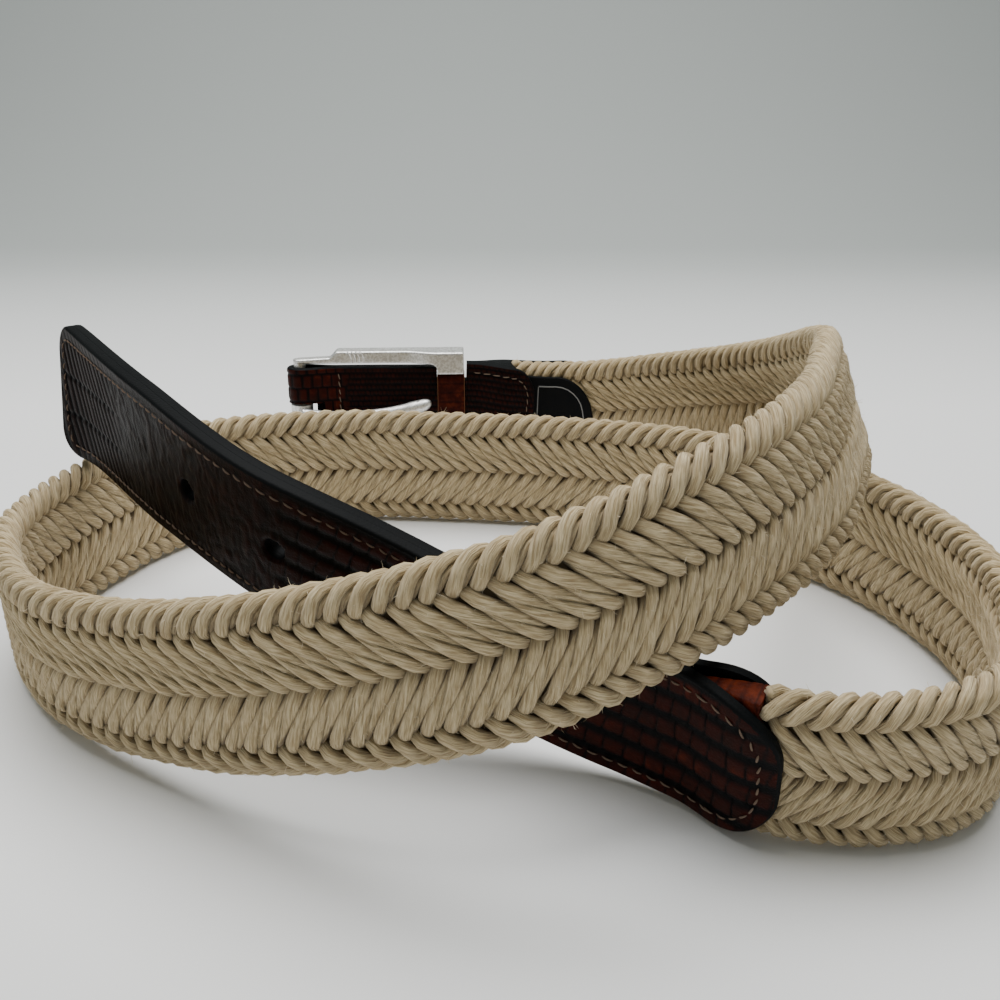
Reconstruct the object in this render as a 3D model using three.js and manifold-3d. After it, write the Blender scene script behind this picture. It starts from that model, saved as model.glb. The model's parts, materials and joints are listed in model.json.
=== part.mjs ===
// A rope belt, standing on its edge in a loose coil: a flat braided rope band, a leather strap with
// punched holes on one end, and on the other a leather tab that carries a steel buckle.
// Millimetres, +Z up. The belt's own length runs from the buckle's bar to the tip of the strap.
import * as THREE from 'three';
import { mergeVertices } from 'three/addons/utils/BufferGeometryUtils.js';
import ManifoldModule from 'manifold-3d';

const manifold = await ManifoldModule();
manifold.setup();
const { Manifold, Mesh } = manifold;

// Driving sizes
const coil = { across: 240, deep: 240 };
const band = { width: 35, thickness: 5.8, rowGroove: 0.7 };
const leather = { thickness: 2, edgeChamfer: 0.45 };
const clearance = 0.3;
const layerGap = 0.4;

const strap = {
  width: 33,
  length: 195.5,
  tipCornerRadius: 7,
  jointCornerRadius: 13,
  ropeOverlap: 3.5,
  taper: 16,
};
const hole = { radius: 2.4, count: 4, pitch: 25.4, firstFromTip: 68.5 };

const tab = {
  width: 32.4,
  gapToRails: 1.2,
  foldedLength: 77,
  outerLength: 98,
  ropeStart: 69,
  ropeTaper: 13,
  linerFrom: 71,
  linerLength: 98.5,
  linerWidth: 27,
  linerThickness: 1.2,
  linerCornerRadius: 12,
  cornerRadius: 10,
  foldTaper: 12,
};
const keeper = { width: 9, thickness: 1.6, height: 24.8 };
const frame = {
  length: 54,
  height: 40,
  railHeight: 4,
  railFront: 4,
  railBack: 2,
  slimLength: 12,
  slimStep: 2,
  slimDepth: 4,
  endWidth: 8.6,
  endFront: 7.4,
  endBack: 4.8,
  barRadius: 1.9,
};
const prong = {
  gapToKeeper: 2,
  radius: 2.3,
  eyeHeight: 5,
  eyeWall: 1.4,
  tipRise: 3,
  slotMargin: 0.5,
  slotEndGap: 1.2,
  shankSlot: 8,
};

// The keeper sits under the frame's end, the prong stops short of it, and the tab passes between the rails
const keeperFrom = frame.length - (frame.endWidth + keeper.width) / 2;
const prongReach = keeperFrom - prong.gapToKeeper;
const tabWidthInFrame = frame.height - 2 * frame.railHeight - 2 * tab.gapToRails;

// The belt's route. across and deep are shares of the coil's spans, measured from its middle;
// rise, the height of the band's middle line, is a share of the band's width; lean, in degrees,
// tips the upper edge towards the inside of the coil. The rows are about evenly spaced.
const routeRows = [
  { across: -0.254, deep: 0.381, rise: 0.572, lean: 0 },
  { across: -0.129, deep: 0.386, rise: 0.572, lean: 0 },
  { across: -0.013, deep: 0.391, rise: 0.56, lean: 1 },
  { across: 0.092, deep: 0.404, rise: 0.515, lean: 6 },
  { across: 0.206, deep: 0.366, rise: 0.635, lean: 13 },
  { across: 0.294, deep: 0.254, rise: 0.91, lean: 18 },
  { across: 0.348, deep: 0.126, rise: 1.2, lean: 20 },
  { across: 0.359, deep: -0.012, rise: 1.5, lean: 21 },
  { across: 0.32, deep: -0.151, rise: 1.64, lean: 19 },
  { across: 0.26, deep: -0.288, rise: 1.625, lean: 14 },
  { across: 0.163, deep: -0.397, rise: 1.53, lean: 8 },
  { across: 0.034, deep: -0.449, rise: 1.25, lean: 1 },
  { across: -0.108, deep: -0.423, rise: 0.92, lean: -3 },
  { across: -0.236, deep: -0.362, rise: 0.655, lean: -6 },
  { across: -0.355, deep: -0.276, rise: 0.52, lean: -7 },
  { across: -0.429, deep: -0.144, rise: 0.5, lean: 0 },
  { across: -0.406, deep: 0.005, rise: 0.5, lean: -2 },
  { across: -0.329, deep: 0.128, rise: 0.5, lean: 0 },
  { across: -0.19, deep: 0.18, rise: 0.5, lean: 6 },
  { across: -0.039, deep: 0.176, rise: 0.5, lean: 8 },
  { across: 0.112, deep: 0.153, rise: 0.5, lean: 7 },
  { across: 0.247, deep: 0.104, rise: 0.5, lean: 4 },
  { across: 0.364, deep: 0.009, rise: 0.5, lean: 3 },
  { across: 0.43, deep: -0.128, rise: 0.5, lean: 4 },
  { across: 0.434, deep: -0.271, rise: 0.5, lean: 3 },
  { across: 0.366, deep: -0.409, rise: 0.5, lean: -5 },
  { across: 0.232, deep: -0.433, rise: 0.49, lean: -13 },
  { across: 0.104, deep: -0.358, rise: 0.55, lean: -14 },
  { across: -0.037, deep: -0.308, rise: 0.86, lean: -18 },
  { across: -0.166, deep: -0.266, rise: 1.19, lean: -13 },
  { across: -0.281, deep: -0.164, rise: 1.42, lean: -6 },
  { across: -0.379, deep: -0.036, rise: 1.5, lean: -2 },
  { across: -0.419, deep: 0.006, rise: 1.52, lean: 5 },
];

// Smooth value between rows: a Catmull-Rom blend of the four nearest rows
function blendRows(values, place) {
  const last = values.length - 1;
  const row = Math.min(Math.floor(place), last - 1);
  const t = place - row;
  const b = values[row];
  const c = values[row + 1];
  const a = row > 0 ? values[row - 1] : 2 * b - c;
  const d = row + 2 <= last ? values[row + 2] : 2 * c - b;
  const linear = (c - a) * t;
  const square = (2 * a - 5 * b + 4 * c - d) * t * t;
  const cube = (3 * b - a - 3 * c + d) * t * t * t;
  return b + 0.5 * (linear + square + cube);
}

function makeRoute() {
  const xs = routeRows.map((row) => row.across * coil.across);
  const ys = routeRows.map((row) => row.deep * coil.deep);
  const zs = routeRows.map((row) => row.rise * band.width);
  const leans = routeRows.map((row) => THREE.MathUtils.degToRad(row.lean));
  const last = routeRows.length - 1;
  const stepsPerRow = 40;
  const point = (place) =>
    new THREE.Vector3(blendRows(xs, place), blendRows(ys, place), blendRows(zs, place));
  const lengths = [0];
  for (let step = 1; step <= last * stepsPerRow; step += 1) {
    const here = point(step / stepsPerRow);
    lengths.push(lengths[step - 1] + here.distanceTo(point((step - 1) / stepsPerRow)));
  }
  const total = lengths[lengths.length - 1];

  function placeAt(length) {
    const wanted = THREE.MathUtils.clamp(length, 0, total);
    let low = 0;
    let high = lengths.length - 1;
    while (high - low > 1) {
      const middle = (low + high) >> 1;
      if (lengths[middle] <= wanted) {
        low = middle;
      } else {
        high = middle;
      }
    }
    return (low + (wanted - lengths[low]) / (lengths[high] - lengths[low])) / stepsPerRow;
  }

  // The moving frame: along the belt, up its width, and out of its inner face
  function frameAt(length) {
    const place = placeAt(length);
    const reach = 0.02;
    const behind = point(Math.max(place - reach, 0));
    const ahead = point(Math.min(place + reach, last));
    const along = ahead.sub(behind).normalize();
    const inward = new THREE.Vector3().crossVectors(along, new THREE.Vector3(0, 0, 1)).normalize();
    const upright = new THREE.Vector3().crossVectors(inward, along);
    const lean = blendRows(leans, place);
    const up = upright.clone().multiplyScalar(Math.cos(lean)).addScaledVector(inward, Math.sin(lean));
    const inner = inward.clone().multiplyScalar(Math.cos(lean)).addScaledVector(upright, -Math.sin(lean));
    return { origin: point(place), along, up, inner };
  }
  return { total, frameAt };
}

const route = makeRoute();
const jointAt = route.total - strap.length;
const ropeEnd = jointAt + strap.ropeOverlap;

// Closed solid through rings of points that all have the same count
function loft(rings) {
  const count = rings[0].length;
  const positions = [];
  const triangles = [];
  for (const ring of rings) {
    for (const p of ring) {
      positions.push(p.x, p.y, p.z);
    }
  }
  for (let r = 0; r + 1 < rings.length; r += 1) {
    for (let i = 0; i < count; i += 1) {
      const j = (i + 1) % count;
      const a = r * count + i;
      const b = r * count + j;
      triangles.push(a, b, b + count, a, b + count, a + count);
    }
  }
  for (const [ring, flip] of [[0, true], [rings.length - 1, false]]) {
    const flat = flattenRing(rings[ring]);
    for (const face of THREE.ShapeUtils.triangulateShape(flat, [])) {
      const [a, b, c] = face.map((k) => ring * count + k);
      triangles.push(...(flip ? [a, c, b] : [a, b, c]));
    }
  }
  const geometry = new THREE.BufferGeometry();
  geometry.setAttribute('position', new THREE.Float32BufferAttribute(positions, 3));
  geometry.setIndex(triangles);
  return outward(geometry);
}

// The ring's points in its own plane, turning the same way as the ring
function flattenRing(ring) {
  const centre = ring.reduce((sum, p) => sum.add(p), new THREE.Vector3()).divideScalar(ring.length);
  const normal = new THREE.Vector3();
  for (let i = 0; i < ring.length; i += 1) {
    const a = ring[i].clone().sub(centre);
    const b = ring[(i + 1) % ring.length].clone().sub(centre);
    normal.add(a.cross(b));
  }
  normal.normalize();
  const first = ring[0].clone().sub(centre).normalize();
  const second = new THREE.Vector3().crossVectors(normal, first);
  return ring.map((p) => {
    const arm = p.clone().sub(centre);
    return new THREE.Vector2(arm.dot(first), arm.dot(second));
  });
}

// Turns every triangle round if the solid came out inside out
function outward(geometry) {
  const position = geometry.getAttribute('position');
  const index = geometry.getIndex();
  const corner = [new THREE.Vector3(), new THREE.Vector3(), new THREE.Vector3()];
  let volume = 0;
  for (let i = 0; i < index.count; i += 3) {
    corner.forEach((v, k) => v.fromBufferAttribute(position, index.getX(i + k)));
    volume += corner[0].dot(corner[1].clone().cross(corner[2]));
  }
  if (volume < 0) {
    for (let i = 0; i < index.count; i += 3) {
      const keep = index.getX(i + 1);
      index.setX(i + 1, index.getX(i + 2));
      index.setX(i + 2, keep);
    }
  }
  return geometry;
}

function toSolid(geometry) {
  const bare = geometry.clone();
  bare.deleteAttribute('normal');
  bare.deleteAttribute('uv');
  const merged = mergeVertices(bare, 1e-4);
  return new Manifold(new Mesh({
    numProp: 3,
    vertProperties: new Float32Array(merged.getAttribute('position').array),
    triVerts: new Uint32Array(merged.getIndex().array),
  }));
}

function toGeometry(solid) {
  const mesh = solid.getMesh();
  const geometry = new THREE.BufferGeometry();
  geometry.setAttribute('position', new THREE.BufferAttribute(new Float32Array(mesh.vertProperties), 3));
  geometry.setIndex(new THREE.BufferAttribute(new Uint32Array(mesh.triVerts), 1));
  geometry.computeVertexNormals();
  return geometry;
}

// A box given by its lowest and highest corners
function boxSolid(low, high) {
  const size = high.map((value, axis) => value - low[axis]);
  return Manifold.cube(size).translate(low);
}

function smoothStep(from, to, value) {
  const t = THREE.MathUtils.clamp((value - from) / (to - from), 0, 1);
  return t * t * (3 - 2 * t);
}

// Places along a ribbon: close together in its rounded ends, and evenly spaced between them
function ribbonPlaces(from, to, startRadius, endRadius, spacing) {
  const arcSteps = 6;
  const places = [];
  for (let i = 1; i <= arcSteps; i += 1) {
    places.push(from + startRadius * (1 - Math.cos((i / arcSteps) * (Math.PI / 2))));
  }
  const straight = to - endRadius - (from + startRadius);
  const spans = Math.max(Math.ceil(straight / spacing), 1);
  for (let i = 1; i < spans; i += 1) {
    places.push(from + startRadius + (straight * i) / spans);
  }
  for (let i = arcSteps; i >= 1; i -= 1) {
    places.push(to - endRadius * (1 - Math.cos((i / arcSteps) * (Math.PI / 2))));
  }
  return places;
}

// Half the width of a strap whose two ends have rounded corners
function roundedHalfWidth(place, from, to, width, startRadius, endRadius) {
  let half = width / 2;
  for (const [distance, radius] of [[place - from, startRadius], [to - place, endRadius]]) {
    if (distance < radius) {
      const run = radius - distance;
      half = Math.min(half, width / 2 - radius + Math.sqrt(Math.max(radius * radius - run * run, 0)));
    }
  }
  return half;
}

// One section of a leather layer: a flat bar with chamfered edges
function layerRing(origin, up, out, halfWidth, thickness) {
  const c = Math.min(leather.edgeChamfer, thickness / 3);
  const w = halfWidth;
  const t = thickness / 2;
  const corners = [[w, t - c], [w - c, t], [-w + c, t], [-w, t - c], [-w, -t + c], [-w + c, -t], [w - c, -t],
    [w, -t + c]];
  return corners.map(([across, off]) =>
    origin.clone().addScaledVector(up, across).addScaledVector(out, off));
}

// A layer that follows the route at a distance from its middle surface, inner side positive
function followingLayer({ from, to, width, startRadius, endRadius, offset, thickness, spacing = 6 }) {
  const rings = ribbonPlaces(from, to, startRadius, endRadius, spacing).map((place) => {
    const { origin, up, inner } = route.frameAt(place);
    const half = roundedHalfWidth(place, from, to, width, startRadius, endRadius);
    origin.addScaledVector(inner, offset(place));
    return layerRing(origin, up, inner, half, thickness(place));
  });
  return loft(rings);
}

// Rope band: a flat braid of four rows with rounded rims and shallow grooves between the rows
function ropeSection() {
  const half = band.width / 2;
  const thick = band.thickness / 2;
  const groove = thick - band.rowGroove;
  const profile = [
    { height: 1, depth: 0.3 },
    { height: 0.93, depth: 0.85 },
    { height: 0.84, depth: 1 },
    { height: 0.72, grooved: true },
    { height: 0.6, depth: 0.92 },
    { height: 0.14, depth: 0.92 },
    { height: 0, grooved: true },
  ];
  const side = profile.map((row) => [row.height * half, row.grooved ? groove : row.depth * thick]);
  const lower = side.slice(0, -1).reverse().map(([h, d]) => [-h, d]);
  const innerSide = [...side, ...lower];
  const outerSide = innerSide.map(([h, d]) => [h, -d]).reverse();
  return [...innerSide, ...outerSide];
}

function ropeBand() {
  const section = ropeSection();
  const spacing = 9;
  const spans = Math.round((ropeEnd - tab.ropeStart) / spacing);
  const rings = [];
  for (let i = 0; i <= spans; i += 1) {
    const { origin, up, inner } = route.frameAt(THREE.MathUtils.lerp(tab.ropeStart, ropeEnd, i / spans));
    rings.push(section.map(([height, depth]) =>
      origin.clone().addScaledVector(up, height).addScaledVector(inner, depth)));
  }
  return loft(rings);
}

// How far a leather layer stands off the middle surface, over the rope and beyond its end
const overRope = band.thickness / 2 + clearance + leather.thickness / 2;
const overLeather = layerGap / 2 + leather.thickness / 2;

function strapOffset(place) {
  return THREE.MathUtils.lerp(overRope, overLeather, smoothStep(ropeEnd, ropeEnd + strap.taper, place));
}

function strapLayer(side) {
  return followingLayer({
    from: jointAt,
    to: route.total,
    width: strap.width,
    startRadius: strap.jointCornerRadius,
    endRadius: strap.tipCornerRadius,
    offset: (place) => side * strapOffset(place),
    thickness: () => leather.thickness,
  });
}

// The holes' cutters, square to the strap where each hole lies
function holeCutters() {
  const cutters = [];
  for (let i = 0; i < hole.count; i += 1) {
    const { origin, along, up, inner } = route.frameAt(route.total - hole.firstFromTip - i * hole.pitch);
    const cylinder = new THREE.CylinderGeometry(hole.radius, hole.radius, leather.thickness * 8, 12);
    cylinder.applyMatrix4(new THREE.Matrix4().makeBasis(along, inner, along.clone().cross(inner)));
    cylinder.translate(origin.x, origin.y, origin.z);
    cutters.push(toSolid(outward(mergeVertices(stripped(cylinder), 1e-4))));
  }
  return Manifold.union(cutters);
}

function stripped(geometry) {
  geometry.deleteAttribute('normal');
  geometry.deleteAttribute('uv');
  return geometry;
}

// The wedge that fills the strap between the rope's end and where its two layers meet
function strapFiller() {
  const from = ropeEnd + clearance;
  const to = ropeEnd + strap.taper * 0.7;
  const room = (place) => 2 * (strapOffset(place) - leather.thickness / 2 - clearance);
  return followingLayer({
    from,
    to,
    width: strap.width - 1,
    startRadius: 0.5,
    endRadius: 0.5,
    offset: () => 0,
    thickness: (place) => Math.max(room(place), 0.6),
    spacing: 3,
  });
}

// Tab: one piece of leather that comes along the outer side, wraps the bar and returns inside
const wrapRadius = frame.barRadius + clearance + leather.thickness / 2;
const overLiner = overRope + tab.linerThickness + clearance;

function tabOffset(place, overTheRope) {
  const folded = THREE.MathUtils.lerp(wrapRadius, overLeather, smoothStep(0, tab.foldTaper, place));
  const rise = smoothStep(tab.ropeStart - tab.ropeTaper, tab.ropeStart - 1, place);
  return THREE.MathUtils.lerp(folded, overTheRope, rise);
}

function tabHalfWidth(place, end) {
  const inFrame = tabWidthInFrame / 2;
  const full = roundedHalfWidth(place, -tab.cornerRadius, end, tab.width, tab.cornerRadius, tab.cornerRadius);
  const grow = smoothStep(keeperFrom, keeperFrom + keeper.width, place);
  return Math.min(full, THREE.MathUtils.lerp(inFrame, tab.width / 2, grow));
}

function tabRing(place, side, overTheRope, end) {
  const { origin, up, inner } = route.frameAt(place);
  origin.addScaledVector(inner, side * tabOffset(place, overTheRope));
  return layerRing(origin, up, inner.multiplyScalar(side), tabHalfWidth(place, end), leather.thickness);
}

function wrapRing(angle) {
  const { origin, along, up, inner } = route.frameAt(0);
  const out = along.clone().multiplyScalar(-Math.sin(angle)).addScaledVector(inner, -Math.cos(angle));
  origin.addScaledVector(out, wrapRadius);
  return layerRing(origin, up, out, tabWidthInFrame / 2, leather.thickness);
}

function bareTab() {
  const spacing = 6;
  const startRadius = 0.1;
  const outerPlaces = ribbonPlaces(0, tab.outerLength, startRadius, tab.cornerRadius, spacing).slice(6);
  const innerPlaces = ribbonPlaces(0, tab.foldedLength, startRadius, tab.cornerRadius, spacing).slice(6);
  const rings = [];
  for (const place of outerPlaces.reverse()) {
    rings.push(tabRing(place, -1, overRope, tab.outerLength));
  }
  const wrapSteps = 8;
  for (let i = 0; i <= wrapSteps; i += 1) {
    rings.push(wrapRing((i / wrapSteps) * Math.PI));
  }
  for (const place of innerPlaces) {
    rings.push(tabRing(place, 1, overLiner, tab.foldedLength));
  }
  return loft(rings);
}

// The glued core that joins the tab's two layers behind the fold
function tabCore() {
  const overlap = 1.2;
  return followingLayer({
    from: tab.foldTaper + 1,
    to: tab.ropeStart - clearance,
    width: tabWidthInFrame - 2 * leather.edgeChamfer,
    startRadius: 0.5,
    endRadius: 0.5,
    offset: (place) => (tabOffset(place, overLiner) - tabOffset(place, overRope)) / 2,
    thickness: (place) => tabOffset(place, overLiner) + tabOffset(place, overRope) - leather.thickness + overlap,
    spacing: 5,
  });
}

// Puts a solid made in the buckle's own axes where the bar stands: x along the tab, y outward, z up
function placedAtBar(solid) {
  const { origin, along } = route.frameAt(0);
  const heading = Math.atan2(along.y, along.x);
  return solid.rotate([0, 0, THREE.MathUtils.radToDeg(heading)]).translate([origin.x, origin.y, origin.z]);
}

const notchHalf = keeper.height / 2 - keeper.thickness - clearance;

function notchCutters() {
  const from = keeperFrom - clearance;
  const to = keeperFrom + keeper.width + clearance;
  const reach = frame.height;
  const upper = boxSolid([from, -reach, notchHalf], [to, reach, reach]);
  const lower = boxSolid([from, -reach, -reach], [to, reach, -notchHalf]);
  return placedAtBar(Manifold.union([upper, lower]));
}

// The slot in the fold that the prong's eye turns in, longer on the inner side, where the shank rests
function slotCutter() {
  const half = prong.eyeHeight / 2 + prong.slotMargin;
  const reach = 12;
  const eyeOuter = frame.barRadius + clearance + prong.eyeWall;
  const outerRun = boxSolid([-reach, 0, -half], [eyeOuter + prong.slotEndGap, reach, half]);
  const innerRun = boxSolid([-reach, -reach, -half], [prong.shankSlot, 0.01, half]);
  return placedAtBar(Manifold.union([outerRun, innerRun]));
}

function buckleTab() {
  const whole = toSolid(bareTab()).add(toSolid(tabCore()));
  return toGeometry(whole.subtract(notchCutters()).subtract(slotCutter()));
}

// The black lining's tongue, between the rope and the end of the fold
function tabLining() {
  return followingLayer({
    from: tab.linerFrom,
    to: tab.linerLength,
    width: tab.linerWidth,
    startRadius: 1,
    endRadius: tab.linerCornerRadius,
    offset: () => band.thickness / 2 + clearance + tab.linerThickness / 2,
    thickness: () => tab.linerThickness,
    spacing: 6,
  });
}

function keeperLoop() {
  const { thickness } = keeper;
  const halfIn = overLeather + leather.thickness / 2 + clearance;
  const halfUp = keeper.height / 2;
  const outer = boxSolid(
    [keeperFrom, -halfIn - thickness, -halfUp],
    [keeperFrom + keeper.width, halfIn + thickness, halfUp],
  );
  const reach = keeper.width;
  const inside = boxSolid(
    [keeperFrom - reach, -halfIn, -halfUp + thickness],
    [keeperFrom + keeper.width + reach, halfIn, halfUp - thickness],
  );
  return toGeometry(placedAtBar(outer.subtract(inside)));
}

// Buckle frame, folded back along the tab's outer side
function buckleFrame() {
  const top = frame.height / 2;
  const window = top - frame.railHeight;
  const endFrom = frame.length - frame.endWidth;
  const parts = [];
  for (const side of [-1, 1]) {
    const inner = side * window;
    const outer = side * top;
    const slimOuter = side * (top - frame.slimStep);
    const span = (a, b) => [Math.min(a, b), Math.max(a, b)];
    const [railLow, railHigh] = span(inner, outer);
    const [slimLow, slimHigh] = span(inner, slimOuter);
    parts.push(boxSolid([frame.slimLength, -frame.railBack, railLow], [frame.length, frame.railFront, railHigh]));
    parts.push(boxSolid([0, -frame.slimDepth / 2, slimLow], [frame.slimLength + 1, frame.slimDepth / 2, slimHigh]));
    const roundEnd = Manifold.cylinder(slimHigh - slimLow, frame.slimDepth / 2, frame.slimDepth / 2, 16);
    parts.push(roundEnd.translate([0, 0, slimLow]));
    const [cornerLow, cornerHigh] = span(side * (keeper.height / 2 + clearance), outer);
    parts.push(boxSolid([endFrom, -frame.endBack, cornerLow], [frame.length, frame.endFront, cornerHigh]));
  }
  const barFront = overLeather + leather.thickness / 2 + keeper.thickness + 2 * clearance;
  parts.push(boxSolid([endFrom, barFront, -top], [frame.length, frame.endFront, top]));
  parts.push(Manifold.cylinder(2 * window + 1, frame.barRadius, frame.barRadius, 16).translate([0, 0, -window - 0.5]));
  return toGeometry(placedAtBar(Manifold.union(parts)));
}

function buckleProng() {
  const eyeInner = frame.barRadius + clearance;
  const eyeOuter = eyeInner + prong.eyeWall;
  const half = prong.eyeHeight / 2;
  const ring = Manifold.cylinder(prong.eyeHeight, eyeOuter, eyeOuter, 20).translate([0, 0, -half]);
  const bore = Manifold.cylinder(prong.eyeHeight * 2, eyeInner, eyeInner, 20).translate([0, 0, -prong.eyeHeight]);
  const clear = overLeather + leather.thickness / 2 + clearance;
  const shaftRows = [
    { along: 0, size: 0.75 },
    { along: 0.3, size: 0.72 },
    { along: 0.7, size: 0.82 },
    { along: 0.82, size: 1 },
    { along: 0.93, size: 0.98 },
    { along: 0.98, size: 0.75 },
    { along: 1, size: 0.35 },
  ];
  const sides = 12;
  const rings = shaftRows.map((row) => {
    const radius = row.size * prong.radius;
    const x = row.along * prongReach;
    const off = Math.max(clear + prong.radius * 0.85, eyeInner + 0.7 * radius);
    const rise = row.along * prong.tipRise;
    return Array.from({ length: sides }, (_, i) => {
      const angle = (i / sides) * 2 * Math.PI;
      return new THREE.Vector3(x, -off - radius * 0.85 * Math.cos(angle), rise + radius * Math.sin(angle));
    });
  });
  const whole = ring.add(toSolid(loft(rings))).subtract(bore);
  return toGeometry(placedAtBar(whole));
}

const materials = {
  cotton: { color: 0xcbbc98, roughness: 0.95, metalness: 0 },
  brownLeather: { color: 0x3a1c12, roughness: 0.45, metalness: 0 },
  blackLeather: { color: 0x17191b, roughness: 0.6, metalness: 0 },
  steel: { color: 0xb4b4b0, roughness: 0.35, metalness: 1 },
};

function piece(name, geometry, material) {
  geometry.computeVertexNormals();
  const mesh = new THREE.Mesh(geometry, new THREE.MeshStandardMaterial(materials[material]));
  mesh.name = name;
  return mesh;
}

const cutters = holeCutters();
const belt = new THREE.Group();
belt.add(
  piece('rope_band', ropeBand(), 'cotton'),
  piece('tip_strap', toGeometry(toSolid(strapLayer(-1)).subtract(cutters)), 'brownLeather'),
  piece('tip_lining', toGeometry(toSolid(strapLayer(1)).subtract(cutters)), 'blackLeather'),
  piece('tip_filler', strapFiller(), 'brownLeather'),
  piece('buckle_tab', buckleTab(), 'brownLeather'),
  piece('buckle_lining', tabLining(), 'blackLeather'),
  piece('keeper', keeperLoop(), 'brownLeather'),
  piece('buckle_frame', buckleFrame(), 'steel'),
  piece('prong', buckleProng(), 'steel'),
);

// Stands the belt on z = 0 with its box centred on the origin
const box = new THREE.Box3().setFromObject(belt, true);
belt.position.set(-(box.min.x + box.max.x) / 2, -(box.min.y + box.max.y) / 2, -box.min.z);

export default belt;
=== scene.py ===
import json
import math

import bmesh
import bpy
import numpy as np
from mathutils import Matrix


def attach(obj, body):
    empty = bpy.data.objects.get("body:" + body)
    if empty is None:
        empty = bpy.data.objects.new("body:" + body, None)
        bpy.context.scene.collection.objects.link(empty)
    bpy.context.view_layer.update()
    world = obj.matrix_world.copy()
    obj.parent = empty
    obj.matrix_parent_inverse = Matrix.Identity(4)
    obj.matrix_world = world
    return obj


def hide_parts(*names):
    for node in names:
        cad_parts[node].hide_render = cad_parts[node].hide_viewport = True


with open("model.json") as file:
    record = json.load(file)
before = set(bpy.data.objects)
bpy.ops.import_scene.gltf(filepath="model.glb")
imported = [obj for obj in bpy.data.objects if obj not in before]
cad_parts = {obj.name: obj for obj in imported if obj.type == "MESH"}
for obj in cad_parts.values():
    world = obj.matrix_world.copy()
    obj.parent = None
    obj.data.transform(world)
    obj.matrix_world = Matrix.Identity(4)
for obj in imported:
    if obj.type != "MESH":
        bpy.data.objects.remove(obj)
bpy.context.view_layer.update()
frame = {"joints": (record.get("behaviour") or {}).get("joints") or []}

MM = 0.001

# Driving sizes, the same as the frame's
COIL_ACROSS = 240 * MM
COIL_DEEP = 240 * MM
BAND_WIDTH = 35 * MM
BAND_THICKNESS = 5.8 * MM
LEATHER = 2 * MM
CLEARANCE = 0.3 * MM
LAYER_GAP = 0.4 * MM
STRAP_WIDTH = 33 * MM
STRAP_LENGTH = 195.5 * MM
STRAP_TIP_RADIUS = 7 * MM
STRAP_JOINT_RADIUS = 13 * MM
ROPE_OVERLAP = 3.5 * MM
STRAP_TAPER = 16 * MM
HOLE_RADIUS = 2.4 * MM
HOLE_COUNT = 4
HOLE_PITCH = 25.4 * MM
FIRST_HOLE = 68.5 * MM
TAB_WIDTH = 32.4 * MM
TAB_WIDTH_IN_FRAME = 29.6 * MM
TAB_FOLDED = 77 * MM
TAB_OUTER = 98 * MM
ROPE_START = 69 * MM
ROPE_TAPER = 13 * MM
LINER_FROM = 71 * MM
LINER_TO = 98.5 * MM
LINER_WIDTH = 27 * MM
LINER_THICKNESS = 1.2 * MM
LINER_RADIUS = 12 * MM
TAB_RADIUS = 10 * MM
FOLD_TAPER = 12 * MM
KEEPER_FROM = 45.2 * MM
KEEPER_WIDTH = 9 * MM
KEEPER_HEIGHT = 24.8 * MM
KEEPER_THICKNESS = 1.6 * MM
BAR_RADIUS = 1.9 * MM
SLOT_HALF = 3 * MM
EYE_SLOT = 4.8 * MM
SHANK_SLOT = 8 * MM

# The belt's route: across and deep as shares of the coil's spans, rise as a share of the band's width,
# and lean in degrees, which tips the upper edge towards the inside of the coil
ROUTE_ROWS = (
    (-0.254, 0.381, 0.572, 0),
    (-0.129, 0.386, 0.572, 0),
    (-0.013, 0.391, 0.56, 1),
    (0.092, 0.404, 0.515, 6),
    (0.206, 0.366, 0.635, 13),
    (0.294, 0.254, 0.91, 18),
    (0.348, 0.126, 1.2, 20),
    (0.359, -0.012, 1.5, 21),
    (0.32, -0.151, 1.64, 19),
    (0.26, -0.288, 1.625, 14),
    (0.163, -0.397, 1.53, 8),
    (0.034, -0.449, 1.25, 1),
    (-0.108, -0.423, 0.92, -3),
    (-0.236, -0.362, 0.655, -6),
    (-0.355, -0.276, 0.52, -7),
    (-0.429, -0.144, 0.5, 0),
    (-0.406, 0.005, 0.5, -2),
    (-0.329, 0.128, 0.5, 0),
    (-0.19, 0.18, 0.5, 6),
    (-0.039, 0.176, 0.5, 8),
    (0.112, 0.153, 0.5, 7),
    (0.247, 0.104, 0.5, 4),
    (0.364, 0.009, 0.5, 3),
    (0.43, -0.128, 0.5, 4),
    (0.434, -0.271, 0.5, 3),
    (0.366, -0.409, 0.5, -5),
    (0.232, -0.433, 0.49, -13),
    (0.104, -0.358, 0.55, -14),
    (-0.037, -0.308, 0.86, -18),
    (-0.166, -0.266, 1.19, -13),
    (-0.281, -0.164, 1.42, -6),
    (-0.379, -0.036, 1.5, -2),
    (-0.419, 0.006, 1.52, 5),
)


def smooth_step(start, end, value):
    t = np.clip((value - start) / (end - start), 0, 1)
    return t * t * (3 - 2 * t)


def mix(a, b, share):
    return a + (b - a) * share


def unit(vectors):
    return vectors / np.linalg.norm(vectors, axis=-1, keepdims=True)


def lengths_along(points):
    """The length from a line's first point to each of its points."""
    return np.concatenate([[0], np.cumsum(np.linalg.norm(np.diff(points, axis=0), axis=1))])


def at_lengths(places, lengths, pairs):
    """Pairs of numbers blended at places between the lengths where they are known."""
    return np.stack([np.interp(places, lengths, pairs[:, k]) for k in range(2)], axis=-1)


def circle(count):
    """Angles at even steps round a circle."""
    return np.arange(count) * 2 * math.pi / count


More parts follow.
